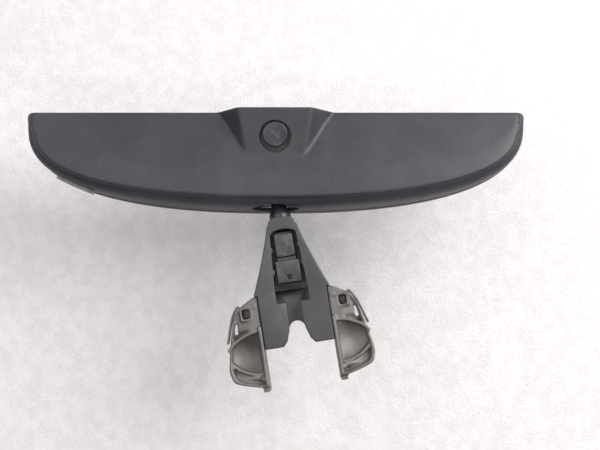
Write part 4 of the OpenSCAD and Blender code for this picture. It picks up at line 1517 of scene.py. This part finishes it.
def spring_clip(side: int, wing: WingForm) -> Thing:
    """A leaf spring along the outside of a wing, with a curled free tip.

    Args:
        side: 1 for the right wing, -1 for the left.
        wing: Form of the wing.

    Returns:
        The bent strip.
    """
    out = -0.75
    marks = ((0.5, 0.13, 1.0), (0.53, 0.1, 0.0), (0.56, 0.09, out), (0.7, 0.17, out), (0.81, 0.3, out),
             (0.88, 0.42, out - 0.3), (0.895, 0.47, out - 0.75))
    curve = catmull([wing.at(*mark) for mark in marks], 6)
    outline = [(side * u, w) for u, w in band(curve, 0.8)]
    name = "spring_clip_right_leaf" if side > 0 else "spring_clip_left_leaf"
    piece = slab(name, outline, wing.rim - 7, wing.rim - 1, PLACES.arm())
    soften_edges(piece, 0.18, 2)
    return shade(piece)


# ---------- Repeated parts ----------


def copies_tree(name: str) -> Tree:
    """Geometry nodes that put turned copies of a template on the points they are given.

    Args:
        name: Name of the node group.

    Returns:
        The node group, with its Template, Turn, Size, Finish and Seed inputs.
    """
    tree = bpy.data.node_groups.new(name, "GeometryNodeTree")
    kinds = {"Geometry": "Geometry", "Template": "Object", "Turn": "Vector", "Size": "Float",
             "Finish": "Material", "Seed": "Int"}
    for label, kind in kinds.items():
        tree.interface.new_socket(label, in_out="INPUT", socket_type="NodeSocket" + kind)
    tree.interface.new_socket("Geometry", in_out="OUTPUT", socket_type="NodeSocketGeometry")
    given, out, template, spread, turn, spin, real, paint = (
        tree.nodes.new(kind) for kind in (
            "NodeGroupInput", "NodeGroupOutput", "GeometryNodeObjectInfo", "GeometryNodeInstanceOnPoints",
            "GeometryNodeRotateInstances", "FunctionNodeRandomValue", "GeometryNodeRealizeInstances",
            "GeometryNodeSetMaterial"))
    spin.data_type = "FLOAT_VECTOR"
    spin.inputs["Min"].default_value = (0.0, 0.0, 0.0)
    spin.inputs["Max"].default_value = (0.0, 0.0, 6.28)
    for start, output, end, label in (
            (given, "Geometry", spread, "Points"), (given, "Template", template, "Object"),
            (template, "Geometry", spread, "Instance"), (given, "Turn", spread, "Rotation"),
            (given, "Size", spread, "Scale"), (given, "Seed", spin, "Seed"),
            (spread, "Instances", turn, "Instances"), (spin, "Value", turn, "Rotation"),
            (turn, "Instances", real, "Geometry"), (real, "Geometry", paint, "Geometry"),
            (given, "Finish", paint, "Material"), (paint, "Geometry", out, "Geometry")):
        tree.links.new(start.outputs[output], end.inputs[label])
    return tree


@dataclass(frozen=True)
class Screws:
    """A set of like screws, spread over points by geometry nodes.

    Attributes:
        name: Name of the piece.
        node: CAD node that they stand for.
        spots: Place of each screw, in its own frame.
        turn: Rotation of each screw about the axes of the row frame, in degrees.
        head: Radius and height of the head.
        shank: Radius and length of the shank.
        seed: Seed of the drives' random turns.
    """

    name: str
    node: str
    spots: tuple[Vector, ...]
    turn: Point3
    head: Point2
    shank: Point2
    seed: int

    def _template(self) -> Thing:
        """One screw, with its head's underside at the origin and its shank along Z."""
        r, h = self.head
        s, length = self.shank
        unit = Matrix.Scale(MM, 4)
        profile = [(0.01, -0.04), (r - 0.45, 0.0), (r - 0.15, 0.15), (r, 0.4 * h), (r, h), (s, h),
                   (s, length - 0.5), (0.3, length)]
        screw = lathe(self.name + "_template", profile, unit, 40)
        star = []
        for i in range(48):
            t = 2 * math.pi * i / 48
            lobe = (0.62 + 0.2 * math.cos(6 * t)) * r / 1.6
            star.append((lobe * math.cos(t), lobe * math.sin(t)))
        drive = slab("drive", star, -0.5, 0.42 * h, unit @ Matrix.Rotation(math.pi / 2, 4, "X")
                     @ Matrix.Scale(-1, 4, (0, 1, 0)))
        cut(screw, [drive])
        return shade(screw)

    def build(self, material: Material) -> Thing:
        """The screws as one plain mesh.

        Args:
            material: Their material.

        Returns:
            The finished piece.
        """
        template = self._template()
        points = make_mesh(self.name, [tuple(v) for v in self.spots], [], Matrix.Identity(4))
        step = points.modifiers.new("copies", "NODES")
        step.node_group = copies_tree("Copies " + self.name)
        values = {"Template": template, "Turn": Vector([math.radians(a) for a in self.turn]), "Size": 1.0,
                  "Finish": material, "Seed": self.seed}
        for item in step.node_group.interface.items_tree:
            if item.in_out == "INPUT" and item.name in values:
                step[item.identifier] = values[item.name]
        bake(points)
        bpy.data.objects.remove(template)
        return shade(points)


def side_insert(form: HeadForm, opening: SideOpening) -> Thing:
    """The ribbed insert in the side opening, with a square port over the microphone."""
    place = opening.place(form) @ Matrix.Rotation(-math.pi / 2, 4, "X")
    flip = place @ Matrix.Scale(-1, 4, (0, 0, 1))
    sunk = opening.sunk
    body = slab("side_insert_body", opening.lens(opening.length - 0.3, opening.width - 0.2), -sunk - 1.9,
                -sunk - 0.55, flip)
    cut(body, [box("port", (-7.6, -8, -0.75), (-5.8, 4, 0.75), flip)])
    first, pitch, half_t, half_l, reach = -4.2, 1.25, 0.28, 1.62, 10.8
    fins = []
    for i in range(11):
        x = first + pitch * i
        k = math.sqrt(1 - (x / reach) ** 2) * 0.94
        sides = [(x - half_t, -half_l * k), (x + half_t, -half_l * k),
                 (x + half_t, half_l * k), (x - half_t, half_l * k)]
        fins.append(slab("fin", sides, -sunk - 0.8, -sunk + 0.1, flip))
    return shade(join("side_insert_ribs", [body] + fins))


# ---------- Setting ----------


@dataclass(frozen=True)
class Studio:
    """The pale table, the lights and the camera.

    Attributes:
        target: The point that the camera looks at, in metres.
        distance: Distance from the camera to the target.
        rise: Angle of the view over the head's depth axis, in degrees.
        lens: Focal length, in millimetres.
        table_y: Level of the table.
    """

    target: Point3 = (0.0006, -0.010, -0.0542)
    distance: float = 0.4107
    rise: float = 7.0
    lens: float = 50.0
    table_y: float = -0.084

    def camera(self) -> Thing:
        """The main camera."""
        e = math.radians(self.rise)
        away = Vector((0, math.cos(e), math.sin(e)))
        up = Vector((0, math.sin(e), -math.cos(e)))
        data = bpy.data.cameras.new("main camera")
        data.lens, data.sensor_width, data.clip_start = self.lens, 36.0, 0.01
        made = bpy.data.objects.new("main camera", data)
        turn = Matrix((up.cross(away), up, away)).transposed().to_4x4()
        made.matrix_world = Matrix.Translation(Vector(self.target) + away * self.distance) @ turn
        bpy.context.scene.collection.objects.link(made)
        bpy.context.scene.camera = made
        return made

    def table(self, groups: dict[str, Tree]) -> Thing:
        """The table, seen only from the side of the camera."""
        made = make_mesh("table", [(-3, 0, -3), (-3, 0, 3), (3, 0, 3), (3, 0, -3)], [[0, 1, 2, 3]],
                         Matrix.Translation((0, self.table_y, 0)))
        made.data.materials.append(TABLE.one_sided(groups))
        return made

    def light(self, name: str, spot: Point3, size: float, power: float, colour: Colour) -> Thing:
        """A soft square light that faces the mirror.

        Args:
            name: Name of the light.
            spot: Its place, in metres.
            size: Its side, in metres.
            power: Its power, in watts.
            colour: Its colour.

        Returns:
            The light.
        """
        data = bpy.data.lights.new(name, "AREA")
        data.shape, data.size, data.energy, data.color = "SQUARE", size, power, colour
        made = bpy.data.objects.new(name, data)
        made.location = spot
        made.rotation_euler = (Vector(self.target) - Vector(spot)).to_track_quat("-Z", "Y").to_euler()
        bpy.context.scene.collection.objects.link(made)
        return made

    def world(self) -> None:
        """A pale surround, lighter where the light comes from."""
        world = bpy.data.worlds.new("surround")
        world.use_nodes = True
        tree = world.node_tree
        back = tree.nodes["Background"]
        coords = tree.nodes.new("ShaderNodeTexCoord")
        parts = tree.nodes.new("ShaderNodeSeparateXYZ")
        tree.links.new(coords.outputs["Generated"], parts.inputs["Vector"])
        side = combine(tree, "SUBTRACT", parts.outputs["X"], parts.outputs["Z"])
        tone = mix_colour(tree, ramp(tree, side, -1.2, 1.4), (0.2, 0.21, 0.25, 1), (0.9, 0.92, 0.96, 1))
        tree.links.new(tone, back.inputs["Color"])
        back.inputs["Strength"].default_value = 0.62
        bpy.context.scene.world = world

    def build(self, groups: dict[str, Tree]) -> None:
        """Builds the whole setting."""
        scene = bpy.context.scene
        scene.view_settings.view_transform = "Standard"
        self.world()
        self.table(groups)
        self.light("key", (0.85, 0.8, -0.5), 0.9, 20.0, (1.0, 0.985, 0.97))
        self.light("fill", (-0.6, 1.1, -0.3), 1.4, 10.0, (0.97, 0.98, 1.0))
        self.light("low warm", (0.02, 0.62, 0.22), 0.05, 0.5, (1.0, 0.8, 0.62))
        self.camera()


# ---------- Assembly ----------


@dataclass
class Mirror:
    """The whole mirror.

    Attributes:
        groups: The shared shader groups.
        form: The head's form.
        plateau: The sensor plateau.
        opening: The side opening.
        wing: Form of a wing of the foot.
        materials: The materials built so far, by name.
    """

    groups: dict[str, Tree]
    form: HeadForm = field(default_factory=HeadForm)
    plateau: Plateau = field(default_factory=Plateau)
    opening: SideOpening = field(default_factory=SideOpening)
    wing: WingForm = field(default_factory=WingForm)
    materials: dict[str, Material] = field(default_factory=dict)

    def material(self, finish: Finish) -> Material:
        """The material of a finish, built when first asked for."""
        if finish.name not in self.materials:
            self.materials[finish.name] = finish.build(self.groups)
        return self.materials[finish.name]

    def place(self, piece: Thing, body: Body, finish: Finish, slot: str, nodes: Sequence[str]) -> None:
        """Gives a piece its finish and its body, and hides the CAD nodes it stands for.

        Args:
            piece: The finished mesh.
            body: The body it rides on.
            finish: Its finish.
            slot: The record's material slot. Not used.
            nodes: CAD nodes that it stands for.
        """
        piece.data.materials.clear()
        piece.data.materials.append(self.material(finish))
        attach(piece, body.value)
        if nodes:
            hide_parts(*nodes)
        LOG.info("%s: %d faces", piece.name, len(piece.data.polygons))

    def head(self) -> None:
        """Builds the pieces of the head."""
        front = FrontParts(self.form)
        casing = Casing(self.form, self.plateau, self.opening).build()
        self.place(casing, Body.HEAD, CASING, "casing_plastic", ["rear_casing"])
        self.place(front.bezel(), Body.HEAD, BEZEL, "bezel_plastic", ["front_bezel"])
        self.place(front.glass(), Body.HEAD, GLASS, "front_glass", ["front_glass"])
        self.place(sensor_cap(self.form, self.plateau), Body.HEAD, CAP, "cap_plastic", ["sensor_cap"])
        self.place(side_insert(self.form, self.opening), Body.HEAD, INSERT, "insert_plastic", ["side_insert"])

    def arm(self) -> None:
        """Builds the pieces of the arm and the foot."""
        cover, plugs = StemCover(), Plugs()
        self.place(FootCasting(self.wing).build(), Body.ARM, FOOT, "foot_metal", ["foot_casting"])
        self.place(cover.build(), Body.ARM, COVER, "cover_plastic", ["stem_cover"])
        self.place(cover.catches(), Body.ARM, COVER, "cover_plastic", [])
        self.place(plugs.build_plug(), Body.ARM, PLUG, "plug_plastic", ["harness_plug"])
        self.place(plugs.build_header(), Body.ARM, PLUG, "plug_plastic", ["socket_header"])
        self.place(ball_stud(), Body.ARM, STUD, "stud_metal", ["ball_stud"])
        for side, node in ((1, "spring_clip_right"), (-1, "spring_clip_left")):
            self.place(spring_clip(side, self.wing), Body.ARM, SPRING, "spring_steel", [node])

    def screws(self) -> None:
        """Builds the three sets of screws."""
        steel = self.material(SCREW)
        arm, head = PLACES.arm(), PLACES.head()
        low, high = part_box("carrier_screws")
        carrier_r, carrier_y, cover_w = 2.1, 4.8, 60.0
        across = (high.x - low.x) / 2 / MM - carrier_r
        ends = [(-across, 12.0), (across, 12.0), (-52.5, 34.0), (52.5, 34.0)]
        spots = tuple(head @ Vector((x, carrier_y, z)) for x, z in ends)
        carrier = Screws("carrier_screws_set", "carrier_screws", spots, (-90, 0, 0), (carrier_r, 0.95),
                         (1.05, 6.4), 3)
        spots = tuple(arm @ Vector((u, self.wing.low, cover_w)) for u in (-COVER_SCREW_U, COVER_SCREW_U))
        cover = Screws("cover_screws_set", "cover_screws", spots, (-90, 0, 0), (2.0, 0.8), (1.05, 7.0), 5)
        low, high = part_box("retainer_screws")
        spots = tuple(Vector((x, (low.y + high.y) / 2, high.z)) for x in (low.x + 2 * MM, high.x - 2 * MM))
        retainer = Screws("retainer_screws_set", "retainer_screws", spots, (180, 0, 0), (2.0, 1.3),
                          (1.05, 9.5), 7)
        for screws, body in ((carrier, Body.HEAD), (cover, Body.ARM), (retainer, Body.HEAD)):
            self.place(screws.build(steel), body, SCREW, "screw_steel", [screws.node])

    def plain_nodes(self) -> None:
        """Gives the CAD nodes that stay shown their finishes."""
        for name, finish in NODE_FINISH.items():
            node = frame["nodes"][name]
            node.data.materials.clear()
            node.data.materials.append(self.material(finish))

    def build(self) -> None:
        """Builds every piece."""
        self.head()
        self.arm()
        self.screws()
        self.plain_nodes()


def write_size() -> None:
    """Updates the view layer."""
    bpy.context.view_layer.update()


def main() -> None:
    """Builds the mirror and its setting."""
    logging.basicConfig(level=logging.INFO, format="%(name)s %(message)s")
    groups = {"surface": surface_group(), "wear": wear_group(), "dust": dust_group()}
    Mirror(groups).build()
    Studio().build(groups)
    write_size()


if __name__ == "__main__":
    main()
